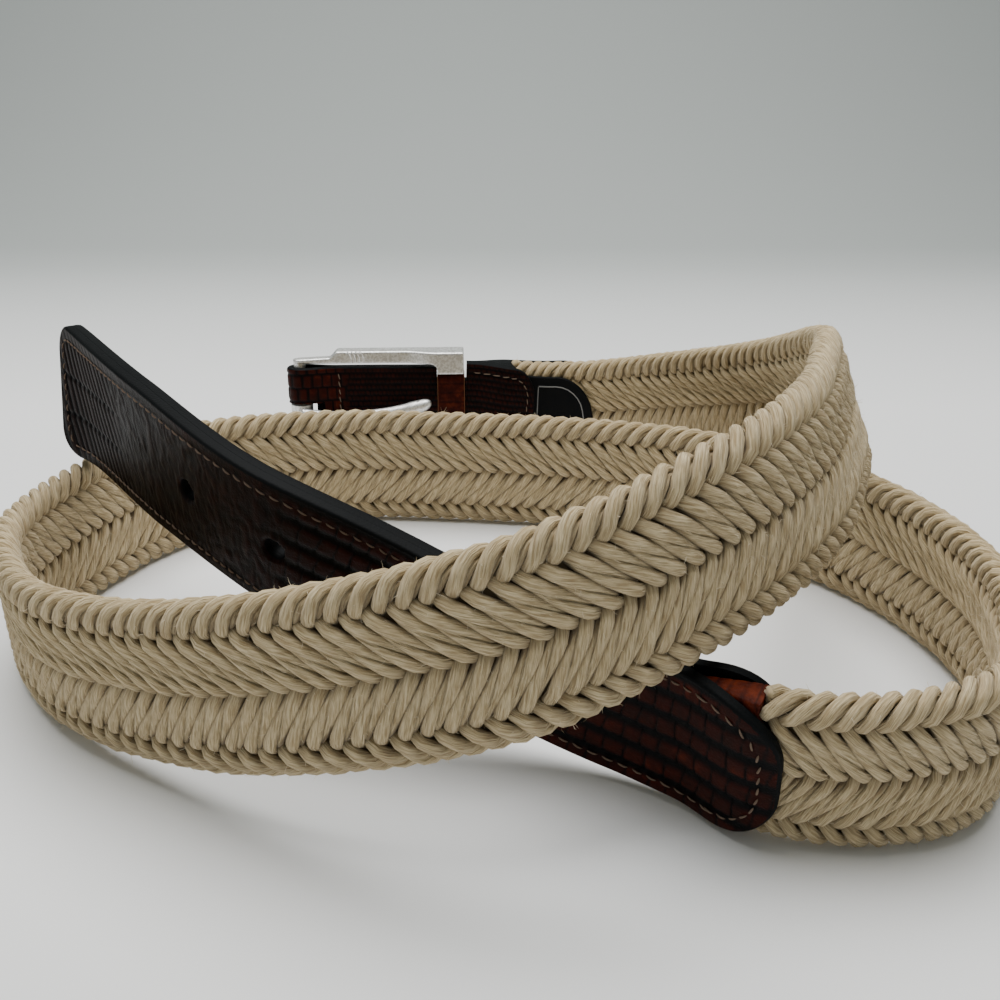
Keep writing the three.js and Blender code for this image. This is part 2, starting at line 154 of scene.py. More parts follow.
class Route:
    """The belt's middle line, with directions along it, up its width and out of its inner face."""

    STEPS_PER_ROW = 40
    REACH = 0.02

    def __init__(self):
        scale = np.array([COIL_ACROSS, COIL_DEEP, BAND_WIDTH, math.radians(1)])
        self.rows = np.array(ROUTE_ROWS) * scale
        self.last = len(self.rows) - 1
        self.steps = np.arange(self.last * self.STEPS_PER_ROW + 1) / self.STEPS_PER_ROW
        points = self.blend(self.steps)[:, :3]
        self.lengths = lengths_along(points)
        self.total = self.lengths[-1]
        bar = next(j for j in frame["joints"] if j["name"] == "buckle_swing")
        self.offset = np.array(bar["pos_m"]) - points[0]

    def blend(self, places):
        """Catmull-Rom blend of the four rows nearest each place."""
        rows = self.rows
        before = 2 * rows[0] - rows[1]
        after = 2 * rows[-1] - rows[-2]
        padded = np.vstack([before, rows, after])
        row = np.clip(np.floor(places).astype(int), 0, self.last - 1)
        t = (places - row)[:, None]
        a, b, c, d = (padded[row + k] for k in range(4))
        linear = (c - a) * t
        square = (2 * a - 5 * b + 4 * c - d) * t**2
        cube = (3 * b - a - 3 * c + d) * t**3
        return b + 0.5 * (linear + square + cube)

    def at(self, lengths):
        """Origins, along, up and inner directions at lengths from the bar, as arrays of rows."""
        flat = np.clip(np.ravel(lengths), 0, self.total)
        places = np.interp(flat, self.lengths, self.steps)
        here = self.blend(places)
        ahead = self.blend(np.minimum(places + self.REACH, self.last))
        behind = self.blend(np.maximum(places - self.REACH, 0))
        along = unit(ahead[:, :3] - behind[:, :3])
        inward = unit(np.cross(along, [0, 0, 1]))
        upright = np.cross(inward, along)
        lean = here[:, 3:]
        up = upright * np.cos(lean) + inward * np.sin(lean)
        inner = inward * np.cos(lean) - upright * np.sin(lean)
        return here[:, :3] + self.offset, along, up, inner


route = Route()
JOINT_AT = route.total - STRAP_LENGTH
ROPE_END = JOINT_AT + ROPE_OVERLAP


def on_band(length, height, depth):
    """Points at a length along the belt, a height up its width and a depth towards its inner side."""
    length, height, depth = np.broadcast_arrays(length, height, depth)
    origin, _, up, inner = route.at(length)
    points = origin + up * np.ravel(height)[:, None] + inner * np.ravel(depth)[:, None]
    return points.reshape(*length.shape, 3)


def new_piece(name, points, faces, materials, body, indices=None, corner_uv=None, marks=None):
    """A smooth mesh from points and faces, with a UV pair for each corner and named values for each point."""
    mesh = bpy.data.meshes.new(name)
    mesh.from_pydata(np.asarray(points).reshape(-1, 3).tolist(), [], faces)
    for material in materials:
        mesh.materials.append(material)
    if indices is not None:
        mesh.polygons.foreach_set("material_index", np.asarray(indices, np.int32))
    if corner_uv is not None:
        layer = mesh.uv_layers.new(name="Belt")
        layer.data.foreach_set("uv", np.asarray(corner_uv, np.float32).ravel())
    for mark, values in (marks or {}).items():
        attribute = mesh.attributes.new(mark, "FLOAT", "POINT")
        attribute.data.foreach_set("value", np.asarray(values, np.float32).ravel())
    mesh.polygons.foreach_set("use_smooth", np.ones(len(mesh.polygons), bool))
    mesh.update()
    made = bpy.data.objects.new(name, mesh)
    bpy.context.scene.collection.objects.link(made)
    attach(made, body)
    return made


# Noise and small helpers


def lattice_noise(x, y, seed):
    """Smooth noise from 0 to 1 with one bump for each unit of x and y, as arrays."""
    size = 256
    table = np.random.default_rng(seed).random((size, size))
    x, y = np.broadcast_arrays(np.asarray(x, float), np.asarray(y, float))
    left = np.floor(x).astype(int)
    below = np.floor(y).astype(int)
    u = smooth_step(0, 1, x - left)
    v = smooth_step(0, 1, y - below)
    low = mix(table[left % size, below % size], table[(left + 1) % size, below % size], u)
    high = mix(table[left % size, (below + 1) % size], table[(left + 1) % size, (below + 1) % size], u)
    return mix(low, high, v)


def dip(distance, width):
    """1 in the middle of a groove and 0 beyond its half width."""
    t = np.clip(np.abs(distance) / width, 0, 1)
    return (1 - t * t) ** 2


def grooves(place, pitch, half_width):
    """A row of grooves, one in the middle of each pitch."""
    return dip(place % pitch - pitch / 2, half_width)


def tube_faces(rings, sides, first=0):
    """Quads of a tube whose rings each have the same number of points."""
    ring = np.arange(rings - 1)[:, None] * sides
    side = np.arange(sides)[None, :]
    after = (side + 1) % sides
    corners = np.stack([ring + side, ring + after, ring + sides + after, ring + sides + side], axis=-1)
    return (corners.reshape(-1, 4) + first).tolist()


# Braid: every cord zigzags between the rims. On each run up or down it lies outside, inside, outside and
# inside of the cords that it crosses, so at any height the upward and downward runs lie on opposite sides

STRANDS = 15
CORD_PITCH = 4.26 * MM
BRAID_CYCLE = STRANDS * CORD_PITCH
CORD_SLOPE = 1.06
TURN_REACH = BRAID_CYCLE / 4
STRAIGHT_REACH = 13.6 * MM
ROW_REACH = 2.5 * CORD_PITCH
RIM_SWITCH = TURN_REACH - ROW_REACH
DIVE_REACH = 1.75 * MM
CORD_DEPTH = 1.5 * MM
FLOAT_BULGE = 0.24 * MM
PLY_RADIUS = 1.32 * MM
PLY_OFFSET = 0.54 * MM
PLY_CREASE = 0.6
CORD_FLATTENING = 0.9
TURNS_PER_CYCLE = 3
RING_STEP = 0.98 * MM
CORD_SIDES = 20
STRAND_GROUPS = 3
RIM_FROM = 12 * MM
RIM_TO = 16 * MM
CORD_WAVER = 0.5 * MM
CORD_LIFT = 0.3 * MM


def cord_height(t):
    run = TURN_REACH - np.abs(t % BRAID_CYCLE - BRAID_CYCLE / 2)
    reach = np.abs(run)
    share = np.clip((reach - STRAIGHT_REACH) / (TURN_REACH - STRAIGHT_REACH), 0, 1)
    straight = np.minimum(reach, STRAIGHT_REACH)
    turn = (TURN_REACH - STRAIGHT_REACH) * (share - share**2 / 2)
    return np.sign(run) * CORD_SLOPE * (straight + turn)


def cord_side(t):
    """+1 where the cord lies on the band's inner side, -1 on its outer side, and between where it dives."""
    upward = [0, RIM_SWITCH, TURN_REACH, 2 * TURN_REACH - RIM_SWITCH]
    switches = np.array(upward + [2 * TURN_REACH + x for x in upward] + [BRAID_CYCLE])
    sides = np.array([1, -1, 1, -1, 1, -1, 1, -1, 1, -1])
    knots = np.ravel([[x - DIVE_REACH, x + DIVE_REACH] for x in switches])
    values = np.ravel([[sides[k], sides[k + 1]] for k in range(len(switches))])
    side = np.interp(t % BRAID_CYCLE, knots, values)
    return side * (1.5 - 0.5 * side**2)


def crowding(length):
    """How much closer than usual the cords lie: the weave is pushed together in the two right bends."""
    bend = dip(length - 345 * MM, 60 * MM)
    loop = smooth_step(765 * MM, 830 * MM, length)
    return 1 + 0.1 * bend + 0.24 * loop


def ply_radius(angle):
    """The radius of two round plies side by side, with a crease between them."""
    lobe = PLY_OFFSET * np.abs(np.cos(angle)) + np.sqrt(PLY_RADIUS**2 - (PLY_OFFSET * np.sin(angle)) ** 2)
    crease = np.abs(np.cos(angle)) < 0.01
    return np.where(crease, lobe * PLY_CREASE, lobe)


def ply_angles():
    """Angles round a cord, with its two creases at a quarter and three quarters of a turn."""
    lobe = np.radians(np.linspace(-77, 77, CORD_SIDES // 2 - 1))
    return np.concatenate([lobe, [math.pi / 2], lobe + math.pi, [1.5 * math.pi]])


def strand(index, draw):
    """Rings of points of one cord, their lengths along it, how far each point faces out of the band, and how
    much painted shade darkens it where it turns away from the outside or dives through the band."""
    length = np.arange(ROPE_START, ROPE_END, RING_STEP)
    phase, wander, twist = draw.random(3)
    waver = lattice_noise(length / (9 * MM), index * 7.3, 11) - 0.5
    lift = lattice_noise(length / (7 * MM), index * 5.1, 12) - 0.5
    crowded = crowding(length)
    t = ROPE_START + np.cumsum(crowded) * RING_STEP + index * CORD_PITCH + CORD_WAVER * waver
    height = cord_height(t)
    side = cord_side(t)
    along_float = np.abs(np.sin(np.pi * (t % TURN_REACH) / TURN_REACH))
    rim = smooth_step(RIM_FROM + 0.5 * MM, RIM_TO, np.abs(height))
    depth = side * (CORD_DEPTH * (1 - 0.3 * rim) + FLOAT_BULGE * along_float) + CORD_LIFT * lift
    middle = on_band(length, height, depth)
    _, _, up, inner = route.at(length)
    along = unit(np.gradient(middle, axis=0))
    out = unit(inner - along * np.sum(inner * along, axis=1, keepdims=True))
    across = np.cross(out, along)
    around = ply_angles()
    turned = -2 * math.pi * TURNS_PER_CYCLE * t / BRAID_CYCLE + 0.5 * (twist - 0.5) + 0.35 * waver
    start = 2 * math.pi * TURNS_PER_CYCLE * ROW_REACH / BRAID_CYCLE
    angle = (turned + start)[:, None] + around[None, :]
    swell = (1 + 0.07 * (lattice_noise(length / (5 * MM), index * 3.7 + wander, 13) - 0.5)) / np.sqrt(crowded)
    radius = ply_radius(around)[None, :] * swell[:, None]
    points = (
        middle[:, None, :]
        + across[:, None, :] * (radius * np.cos(angle))[:, :, None]
        + out[:, None, :] * (radius * np.sin(angle) * CORD_FLATTENING)[:, :, None]
    )
    rim_share = smooth_step(RIM_FROM, RIM_TO, np.abs(height))[:, None]
    outward = unit(mix(side[:, None] * inner, np.sign(height)[:, None] * up, rim_share) + 1e-6)
    facing = np.sum(unit(points - middle[:, None, :]) * outward[:, None, :], axis=-1)
    # Painted shade: a mark that darkens the cotton where the cord turns away from the band's outside and
    # where it dives through the band, weaker on the rims
    dive = (1 - np.abs(side))[:, None] * (1 - rim_share)
    painted_shade = np.maximum((1 - smooth_step(0.1, 0.62, facing)) * (1 - 0.75 * rim_share), 0.7 * dive)
    return points, lengths_along(middle) + phase, facing, painted_shade


def braid():
    draw = np.random.default_rng(5)
    strands = [strand(index, draw) for index in range(STRANDS)]
    size = STRANDS // STRAND_GROUPS
    for group in range(STRAND_GROUPS):
        points, faces, uvs, painted_shades = [], [], [], []
        for rings, along, _, painted_shade in strands[group * size : (group + 1) * size]:
            first = sum(len(p) for p in points)
            points.append(rings.reshape(-1, 3))
            painted_shades.append(painted_shade.ravel())
            faces += tube_faces(len(rings), CORD_SIDES, first)
            uvs.append(cord_uv(along))
            for ring, order in ((0, -1), (len(rings) - 1, 1)):
                corner = first + ring * CORD_SIDES
                faces.append(list(range(corner, corner + CORD_SIDES))[::order])
                uvs.append(np.tile([along[ring], 0.0], (CORD_SIDES, 1)))
        cords = new_piece(
            f"rope_cords_{group + 1}", np.vstack(points), faces, [COTTON], "belt", corner_uv=np.vstack(uvs),
            marks={"painted_shade": np.concatenate(painted_shades)})
        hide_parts("rope_band")
    painted_shade_core()
    fuzz(strands)


FUZZ_COUNT = 13500
FUZZ_LENGTH = 1.5 * MM
FUZZ_HALF_WIDTH = 0.03 * MM


def fuzz(strands):
    """Loose fibres: thin curved ribbons that stand on the outside of the cords."""
    draw = np.random.default_rng(17)
    roots, outs = [], []
    for rings, _, facing, _ in strands:
        arms = unit(rings - np.mean(rings, axis=1, keepdims=True))
        rows, sides = np.nonzero(facing > 0.35)
        picked = draw.choice(len(rows), FUZZ_COUNT // STRANDS, replace=False)
        roots.append(rings[rows[picked], sides[picked]])
        outs.append(arms[rows[picked], sides[picked]])
    root, out = np.vstack(roots), np.vstack(outs)
    count = len(root)
    sway = draw.standard_normal((count, 3))
    curl = draw.standard_normal((count, 3))
    reach = FUZZ_LENGTH * (0.35 + draw.random(count) ** 2)[:, None]
    first = unit(out + 0.75 * sway)
    second = unit(first + 0.55 * curl)
    width = FUZZ_HALF_WIDTH * unit(np.cross(first, curl))
    root = root - 0.15 * MM * out
    knee = root + first * reach * 0.55
    tip = knee + second * reach * 0.45
    end = 0.3 * width
    points = np.stack([root - width, root + width, knee + width, knee - width, tip + end, tip - end], 1)
    start = np.arange(count)[:, None] * 6
    faces = np.concatenate([start + [0, 1, 2, 3], start + [3, 2, 4, 5]]).tolist()
    made = new_piece("rope_fuzz", points, faces, [FUZZ], "belt")


def painted_shade_core():
    """The middle of the braid, seen only between the cords: a sheet that fills the gaps, coloured a dark
    cotton as painted shade.
    """
    rows = np.arange(ROPE_START + 1 * MM, ROPE_END - 1 * MM, 3 * MM)
    upper = [(-13.5, 0.45), (0, 0.5), (13.5, 0.45), (13.8, 0)]
    rim = np.array(upper + [(-height, -depth) for height, depth in upper]) * MM
    points = on_band(rows[:, None], rim[None, :, 0], rim[None, :, 1])
    faces = tube_faces(len(rows), len(rim))
    faces += [list(range(len(rim)))[::-1], list(range((len(rows) - 1) * len(rim), len(rows) * len(rim)))]
    core = new_piece("painted_shade_core", points, faces, [PAINTED_SHADE_COTTON], "belt")
    face_outward(core)


def cord_uv(along):
    """Metres along and round the cord for each corner of its quads."""
    round_step = 2 * math.pi * (PLY_RADIUS + PLY_OFFSET / 2) / CORD_SIDES
    here, ahead = along[:-1], along[1:]
    side = np.arange(CORD_SIDES) * round_step
    u = np.stack([here, here, ahead, ahead], axis=-1)[:, None, :] * np.ones((1, CORD_SIDES, 1))
    v = np.stack([side, side + round_step, side + round_step, side], axis=-1)[None, :, :]
    v = v * np.ones((len(here), 1, 1))
    return np.stack([u, v], axis=-1).reshape(-1, 2)


# Leather layers: a grid of points on the outer face and one on the inner face, joined by painted edges


NEAR_EDGE = (0, 0.08 * MM, 0.2 * MM, 0.36 * MM, 0.56 * MM, 0.8 * MM, 1.1 * MM)
HOLE_ROUNDING = 0.5 * MM
LEATHER_SHARP_ANGLE = 50


def edge_steps(span, step):
    """Places from 0 to span, close together near both ends."""
    near = np.array(NEAR_EDGE)
    middle_count = max(int(round((span - 2 * near[-1]) / step)), 1)
    middle = near[-1] + (span - 2 * near[-1]) * np.arange(1, middle_count) / middle_count
    return np.concatenate([near, middle, (span - near)[::-1]])


def roll_off(distance, radius):
    """How far a face has dropped where its rim is rounded."""
    into = np.clip(radius - distance, 0, radius)
    return radius - np.sqrt(radius**2 - into**2)


class Layer:
    """One layer of leather. place maps arrays of length, height and off, out of its face, to points."""

    def __init__(self, place, start, end, width, radii, thickness, rim_radius=0.8 * MM, back_radius=0.5 * MM):
        self.place = place
        self.start = start
        self.end = end
        self.width = width
        self.radii = radii
        self.thickness = thickness
        self.rim_radius = rim_radius
        self.back_radius = back_radius
        self.pinch = None
        self.fill = None

    def half_at(self, along):
        half = np.full_like(along, self.width / 2)
        for distance, radius in ((along - self.start, self.radii[0]), (self.end - along, self.radii[1])):
            run = np.clip(radius - distance, 0, radius)
            half = np.minimum(half, self.width / 2 - radius + np.sqrt(radius**2 - run**2))
        return half if self.pinch is None else np.minimum(half, self.pinch(along))

    def inset_of(self, along, height):
        """Distance in from the outline."""
        middle = (self.start + self.end) / 2
        radius = np.where(along < middle, *self.radii)
        out_along = np.abs(along - middle) - ((self.end - self.start) / 2 - radius)
        out_across = np.abs(height) - (self.width / 2 - radius)
        outside = np.hypot(np.maximum(out_along, 0), np.maximum(out_across, 0))
        inset = radius - outside - np.minimum(np.maximum(out_along, out_across), 0)
        if self.pinch is not None:
            inset = np.minimum(inset, self.pinch(along) - np.abs(height))
        return np.maximum(inset, 0)

    def face_at(self, along, height, relief=None):
        """How far the outer face stands off the layer's middle."""
        inset = self.inset_of(along, height)
        raised = 0 if relief is None else relief(along, height) * smooth_step(0.3 * MM, 1.4 * MM, inset)
        return self.thickness / 2 - roll_off(inset, self.rim_radius) + raised


def leather_piece(name, layer, step, materials, relief=None, marks=None, holes=(), slots=(), rows=None,
                  paint_width=0.0):
    """A closed layer of leather. materials are face, edge and back. holes are (length, height, radius).
    slots are (from, to, half height)."""
    face, edge, back = range(3)
    along = layer.start + edge_steps(layer.end - layer.start, step) if rows is None else rows
    share = 1 - 2 * edge_steps(layer.width, step) / layer.width
    along_grid, share_grid = np.meshgrid(along, share, indexing="ij")
    height_grid = share_grid * layer.half_at(along)[:, None]
    along_grid, height_grid, kept = cut_openings(along_grid, height_grid, holes, slots)
    inset = layer.inset_of(along_grid, height_grid)
    front_off = layer.face_at(along_grid, height_grid, relief)
    for length, height, radius in holes:
        gap = np.hypot(along_grid - length, height_grid - height) - radius
        front_off = front_off - roll_off(np.maximum(gap, 0), HOLE_ROUNDING)
    back_off = -layer.thickness / 2 + roll_off(inset, layer.back_radius)
    if layer.fill is not None:
        back_off = -layer.thickness / 2 - layer.fill(along_grid)
    points = [layer.place(along_grid, height_grid, off).reshape(-1, 3) for off in (front_off, back_off)]
    painted = (layer.inset_of(cell_middle(along_grid), cell_middle(height_grid)) < paint_width)[kept]
    faces, walls = slab_faces(kept)
    fronts = np.where(painted, edge, face)
    indices = np.concatenate([fronts, np.full(len(painted), back), np.full(len(walls), edge)])
    faces += walls
    used = np.unique(np.concatenate([np.ravel(f) for f in faces]))
    fresh = np.full(2 * along_grid.size, -1)
    fresh[used] = np.arange(len(used))
    values = {}
    for mark, value in (marks or {}).items():
        values[mark] = np.tile(value(along_grid, height_grid).ravel(), 2)[used]
    faces = [[int(fresh[k]) for k in f] for f in faces]
    made = new_piece(name, np.vstack(points)[used], faces, materials, "belt", indices=indices, marks=values)
    face_outward(made)
    made.data.set_sharp_from_angle(angle=math.radians(LEATHER_SHARP_ANGLE))
    return made


def cell_middle(grid):
    return (grid[:-1, :-1] + grid[1:, :-1] + grid[1:, 1:] + grid[:-1, 1:]) / 4


def cut_openings(along_grid, height_grid, holes, slots):
    """Moves grid points onto the openings' outlines, and tells which cells are left."""
    along_grid = along_grid.copy()
    height_grid = height_grid.copy()
    kept = np.ones((along_grid.shape[0] - 1, along_grid.shape[1] - 1), bool)
    for length, height, radius in holes:
        middle_along, middle_height = cell_middle(along_grid), cell_middle(height_grid)
        gone = np.hypot(middle_along - length, middle_height - height) < radius
        kept &= ~gone
        rim = rim_of(gone)
        arm_along = along_grid[rim] - length
        arm_height = height_grid[rim] - height
        reach = np.hypot(arm_along, arm_height)
        along_grid[rim] = length + arm_along / reach * radius
        height_grid[rim] = height + arm_height / reach * radius
    for start, end, half in slots:
        middle_along, middle_height = cell_middle(along_grid), cell_middle(height_grid)
        gone = (middle_along > start) & (middle_along < end) & (np.abs(middle_height) < half)
        kept &= ~gone
        rim = rim_of(gone)
        inside = (along_grid > start + 1 * MM) & (along_grid < end - 1 * MM)
        height_grid = np.where(rim & inside, np.sign(height_grid) * half, height_grid)
    return along_grid, height_grid, kept


def rim_of(gone):
    """The grid points that touch both a cell that is gone and one that is left."""
    padded = np.pad(gone, 1)
    around = padded[:-1, :-1].astype(int) + padded[1:, :-1] + padded[1:, 1:] + padded[:-1, 1:]
    return (around > 0) & (around < 4)


def slab_faces(kept):
    """Quads of two grids of points, for the cells that are kept, and the walls along every border of them."""
    shape = (kept.shape[0] + 1, kept.shape[1] + 1)
    count = shape[0] * shape[1]
    corner = np.arange(count).reshape(shape)
    quads = np.stack([corner[:-1, :-1], corner[1:, :-1], corner[1:, 1:], corner[:-1, 1:]], axis=-1)[kept]
    padded = np.pad(kept, 1)
    walls = []
    for i, j in zip(*np.nonzero(padded[1:, 1:-1] != padded[:-1, 1:-1])):
        walls.append((corner[i, j], corner[i, j + 1]))
    for i, j in zip(*np.nonzero(padded[1:-1, 1:] != padded[1:-1, :-1])):
        walls.append((corner[i, j], corner[i + 1, j]))
    walls = [[int(a), int(b), int(b + count), int(a + count)] for a, b in walls]
    return quads.tolist() + (quads[:, ::-1] + count).tolist(), walls


def face_outward(made):
    work = bmesh.new()
    work.from_mesh(made.data)
    bmesh.ops.recalc_face_normals(work, faces=work.faces)
    work.to_mesh(made.data)
    work.free()


# Where the layers lie

OVER_ROPE = BAND_THICKNESS / 2 + CLEARANCE + LEATHER / 2
OVER_LEATHER = LAYER_GAP / 2 + LEATHER / 2
OVER_LINER = OVER_ROPE + LINER_THICKNESS + CLEARANCE
WRAP_RADIUS = BAR_RADIUS + CLEARANCE + LEATHER / 2
HALF_WRAP = math.pi * WRAP_RADIUS / 2
SEAM_GAP = 0.02 * MM


def strap_offset(length):
    return mix(OVER_ROPE, OVER_LEATHER, smooth_step(ROPE_END, ROPE_END + STRAP_TAPER, length))


def on_strap(side):
    """The place of the strap's outer layer, side -1, or of its lining, side 1."""
    return lambda length, height, off: on_band(length, height, side * (strap_offset(length) + off))


def tab_offset(length, over_the_rope):
    folded = mix(WRAP_RADIUS, OVER_LEATHER, smooth_step(0, FOLD_TAPER, length))
    rise = smooth_step(ROPE_START - ROPE_TAPER, ROPE_START - 1 * MM, length)
    return mix(folded, over_the_rope, rise)


def on_tab(path, height, off):
    """path runs from the tab's outer end, below zero, round the bar at zero and on to its inner end."""
    path, height, off = np.broadcast_arrays(path, height, off)
    outer = on_band(-path - HALF_WRAP, height, -(tab_offset(-path - HALF_WRAP, OVER_ROPE) + off))
    inner = on_band(path - HALF_WRAP, height, tab_offset(path - HALF_WRAP, OVER_LINER) + off)
    origin, along, up, inward = (v[0] for v in route.at([0.0]))
    angle = np.clip((path + HALF_WRAP) / (2 * HALF_WRAP), 0, 1) * math.pi
    arm = -along * np.sin(angle)[..., None] - inward * np.cos(angle)[..., None]
    wrapped = origin + arm * (WRAP_RADIUS + off)[..., None] + up * height[..., None]
    on_outer = (path < -HALF_WRAP)[..., None]
    on_inner = (path > HALF_WRAP)[..., None]
    return np.where(on_outer, outer, np.where(on_inner, inner, wrapped))


# Relief and warmth of the leather, which is embossed like lizard skin


TIP_PART = (30 * MM, 46 * MM)
JOINT_PART = (88 * MM, 104 * MM)
RIDGE_PITCH = 3.0 * MM
ROW_START = 20.6 * MM
ROW_PITCH = 5.6 * MM
CRACK_PITCH = 3.5 * MM
BRICK_ROW = 4.5 * MM
BRICK_LENGTH = 3.1 * MM
FINE_ROW = 1.9 * MM
TICK_PITCH = 1.35 * MM
FROM_BELOW = 30 * MM


def strap_relief(length, height):
    """Slanted ridges at the tip, crinkled grain behind them, and rows of scales at the joint."""
    from_tip = route.total - length
    sway = 0.5 * MM * (lattice_noise(length / (14 * MM), 1.0, 21) - 0.5)
    y = height + sway
    tip_part = 1 - smooth_step(*TIP_PART, from_tip)
    joint_part = smooth_step(*JOINT_PART, from_tip)
    middle_part = 1 - tip_part - joint_part
    ridge_place = from_tip + 0.32 * y
    wobble = lattice_noise(ridge_place / (2.2 * MM), y / (5 * MM), 22) - 0.5
    ridges = 1 - grooves(ridge_place + 0.6 * MM * wobble, RIDGE_PITCH, 0.95 * MM)
    long_grooves = dip(y - 4.5 * MM, 0.9 * MM) + dip(y + 5 * MM, 0.9 * MM)
    tip = 0.34 * MM * (ridges - 1) - 0.3 * MM * long_grooves
    crinkle_place = from_tip / (1.0 * MM) + 1.2 * lattice_noise(length / (3 * MM), y / (2.4 * MM), 23)
    crinkle = lattice_noise(crinkle_place, y / (4 * MM) + 0.25 * crinkle_place, 24)
    crossing = lattice_noise(length / (2.4 * MM) + y / (3 * MM), y / (1.3 * MM), 25)
    middle = 0.26 * MM * (np.abs(crinkle - 0.5) * 2 - 1) + 0.12 * MM * (crossing - 0.5)
    rows = grooves(y + ROW_START, ROW_PITCH, 1.7 * MM)
    row_index = np.floor((y + ROW_START) / ROW_PITCH - 0.5)
    crack_place = from_tip - 0.12 * y + row_index * 1.3 * MM
    crack_wobble = 1.0 * MM * (lattice_noise(from_tip / (4 * MM), y / (4 * MM), 26) - 0.5)
    cracks = grooves(crack_place + crack_wobble, CRACK_PITCH, 0.36 * MM)
    pebble = lattice_noise(length / (1.1 * MM), y / (0.8 * MM), 27)
    joint = -0.42 * MM * rows - 0.3 * MM * cracks + 0.08 * MM * (pebble - 0.5)
    return tip_part * tip + middle_part * middle + joint_part * joint


def strap_groove(length, height):
    return np.clip(-strap_relief(length, height) / (0.3 * MM), 0, 1)


def strap_warmth(length, height):
    """How red the leather is: near black at the tip, reddish by the joint."""
    from_tip = route.total - length
    redder = 0.12 + 0.75 * smooth_step(45 * MM, 150 * MM, from_tip)
    return redder * (0.55 + 0.9 * lattice_noise(length / (9 * MM), height / (3.5 * MM), 28))


def tab_relief(path, height):
    """Brick-like scales by the fold, then fine rows with short ticks behind the line of stitches."""
    s = np.abs(path)
    far_part = smooth_step(19 * MM, 22 * MM, s)
    y = height + FROM_BELOW
    row_groove = grooves(y, BRICK_ROW, 0.6 * MM)
    row_shift = np.floor(y / BRICK_ROW + 0.5) * BRICK_LENGTH / 2
    brick_gap = grooves(s + row_shift, BRICK_LENGTH, 0.55 * MM)
    bricks = -0.34 * MM * np.maximum(row_groove, brick_gap)
    fine_row = grooves(y, FINE_ROW, 0.55 * MM)
    tick_shift = np.floor(y / FINE_ROW + 0.5) * 0.77 * MM
    ticks = dip((s + tick_shift) % TICK_PITCH - 0.67 * MM, 0.42 * MM)
    rough = lattice_noise(s / (1.0 * MM), height / (0.8 * MM), 31)
    fine = -0.26 * MM * fine_row - 0.2 * MM * ticks + 0.12 * MM * (rough - 0.5)
    return mix(bricks, fine, far_part)


def tab_groove(path, height):
    return np.clip(-tab_relief(path, height) / (0.22 * MM), 0, 1)


def tab_warmth(path, height):
    s = np.abs(path)
    near = 1.0 - 0.45 * smooth_step(17 * MM, 24 * MM, s)
    return near * (0.5 + 0.7 * lattice_noise(s / (3.5 * MM), height / (2.5 * MM), 32))


# Stitches: short rounded threads laid on a face, a little askew, with their ends sunk in


STITCH_LENGTH = 1.9 * MM
STITCH_PITCH = 2.6 * MM
STITCH_RADIUS = 0.18 * MM
STITCH_RINGS = 7
STITCH_SIDES = 6
CHANNEL_HALF = 0.75 * MM
LOOK_AHEAD = 0.1 * MM


def walk(points, pitch):
    """Places and directions at even steps along a line of (length, height) points."""
    points = np.array(points)
    travelled = lengths_along(points)
    places = np.arange(pitch / 2, travelled[-1], pitch)
    at = at_lengths(places, travelled, points)
    return at, unit(at_lengths(places + LOOK_AHEAD, travelled, points) - at)


def stitches(name, layer, lines):
    draw = np.random.default_rng(len(name) + 3)
    points, faces = [], []
    share = np.linspace(-1, 1, STITCH_RINGS)
    around = circle(STITCH_SIDES)
    for line in lines:
        for at, way in zip(*walk(line, STITCH_PITCH)):
            tilt = 0.17 + 0.08 * draw.standard_normal()
            size = STITCH_LENGTH * (0.94 + 0.12 * draw.random())
            direction = way * math.cos(tilt) + np.array([-way[1], way[0]]) * math.sin(tilt)
            side = np.array([-direction[1], direction[0]])
            faces += tube_faces(STITCH_RINGS, STITCH_SIDES, len(points) * STITCH_RINGS * STITCH_SIDES)
            radius = STITCH_RADIUS * np.sqrt(np.maximum(1 - np.abs(share) ** 3, 0.02))
            flat = at + (share * size / 2)[:, None] * direction
            spread = flat[:, None, :] + (radius[:, None] * np.cos(around))[:, :, None] * side
            lift = (-0.1 * MM + 0.2 * MM * (1 - share**2))[:, None] + radius[:, None] * np.sin(around)
            face = layer.face_at(spread[..., 0], spread[..., 1])
            points.append(layer.place(spread[..., 0], spread[..., 1], face + lift).reshape(-1, 3))
    made = new_piece(name, np.vstack(points), faces, [THREAD], "belt")


def inset_line(start, end, width, inset, radius):
    """A line inset from the outline of a strap: up one side, round the end and back along the other."""
    half = width / 2 - inset
    corner = max(radius - inset, 0.5 * MM)
    line = [(start, half)]
    for side in (1, -1):
        for turn in np.linspace(math.pi / 2, 0, 7)[::side] * side:
            out = side * (half - corner) + corner * math.sin(turn)
            line.append((end - inset - corner + corner * math.cos(turn), out))
    return line + [(start, -half)]


# The strap at the belt's tip


def strap_fill(length):
    """How far the strap's layers reach in to meet at the middle, where the rope no longer parts them."""
    met = ROPE_END + STRAP_TAPER
    return (LAYER_GAP / 2 - SEAM_GAP) * smooth_step(met, met + 3 * MM, length)


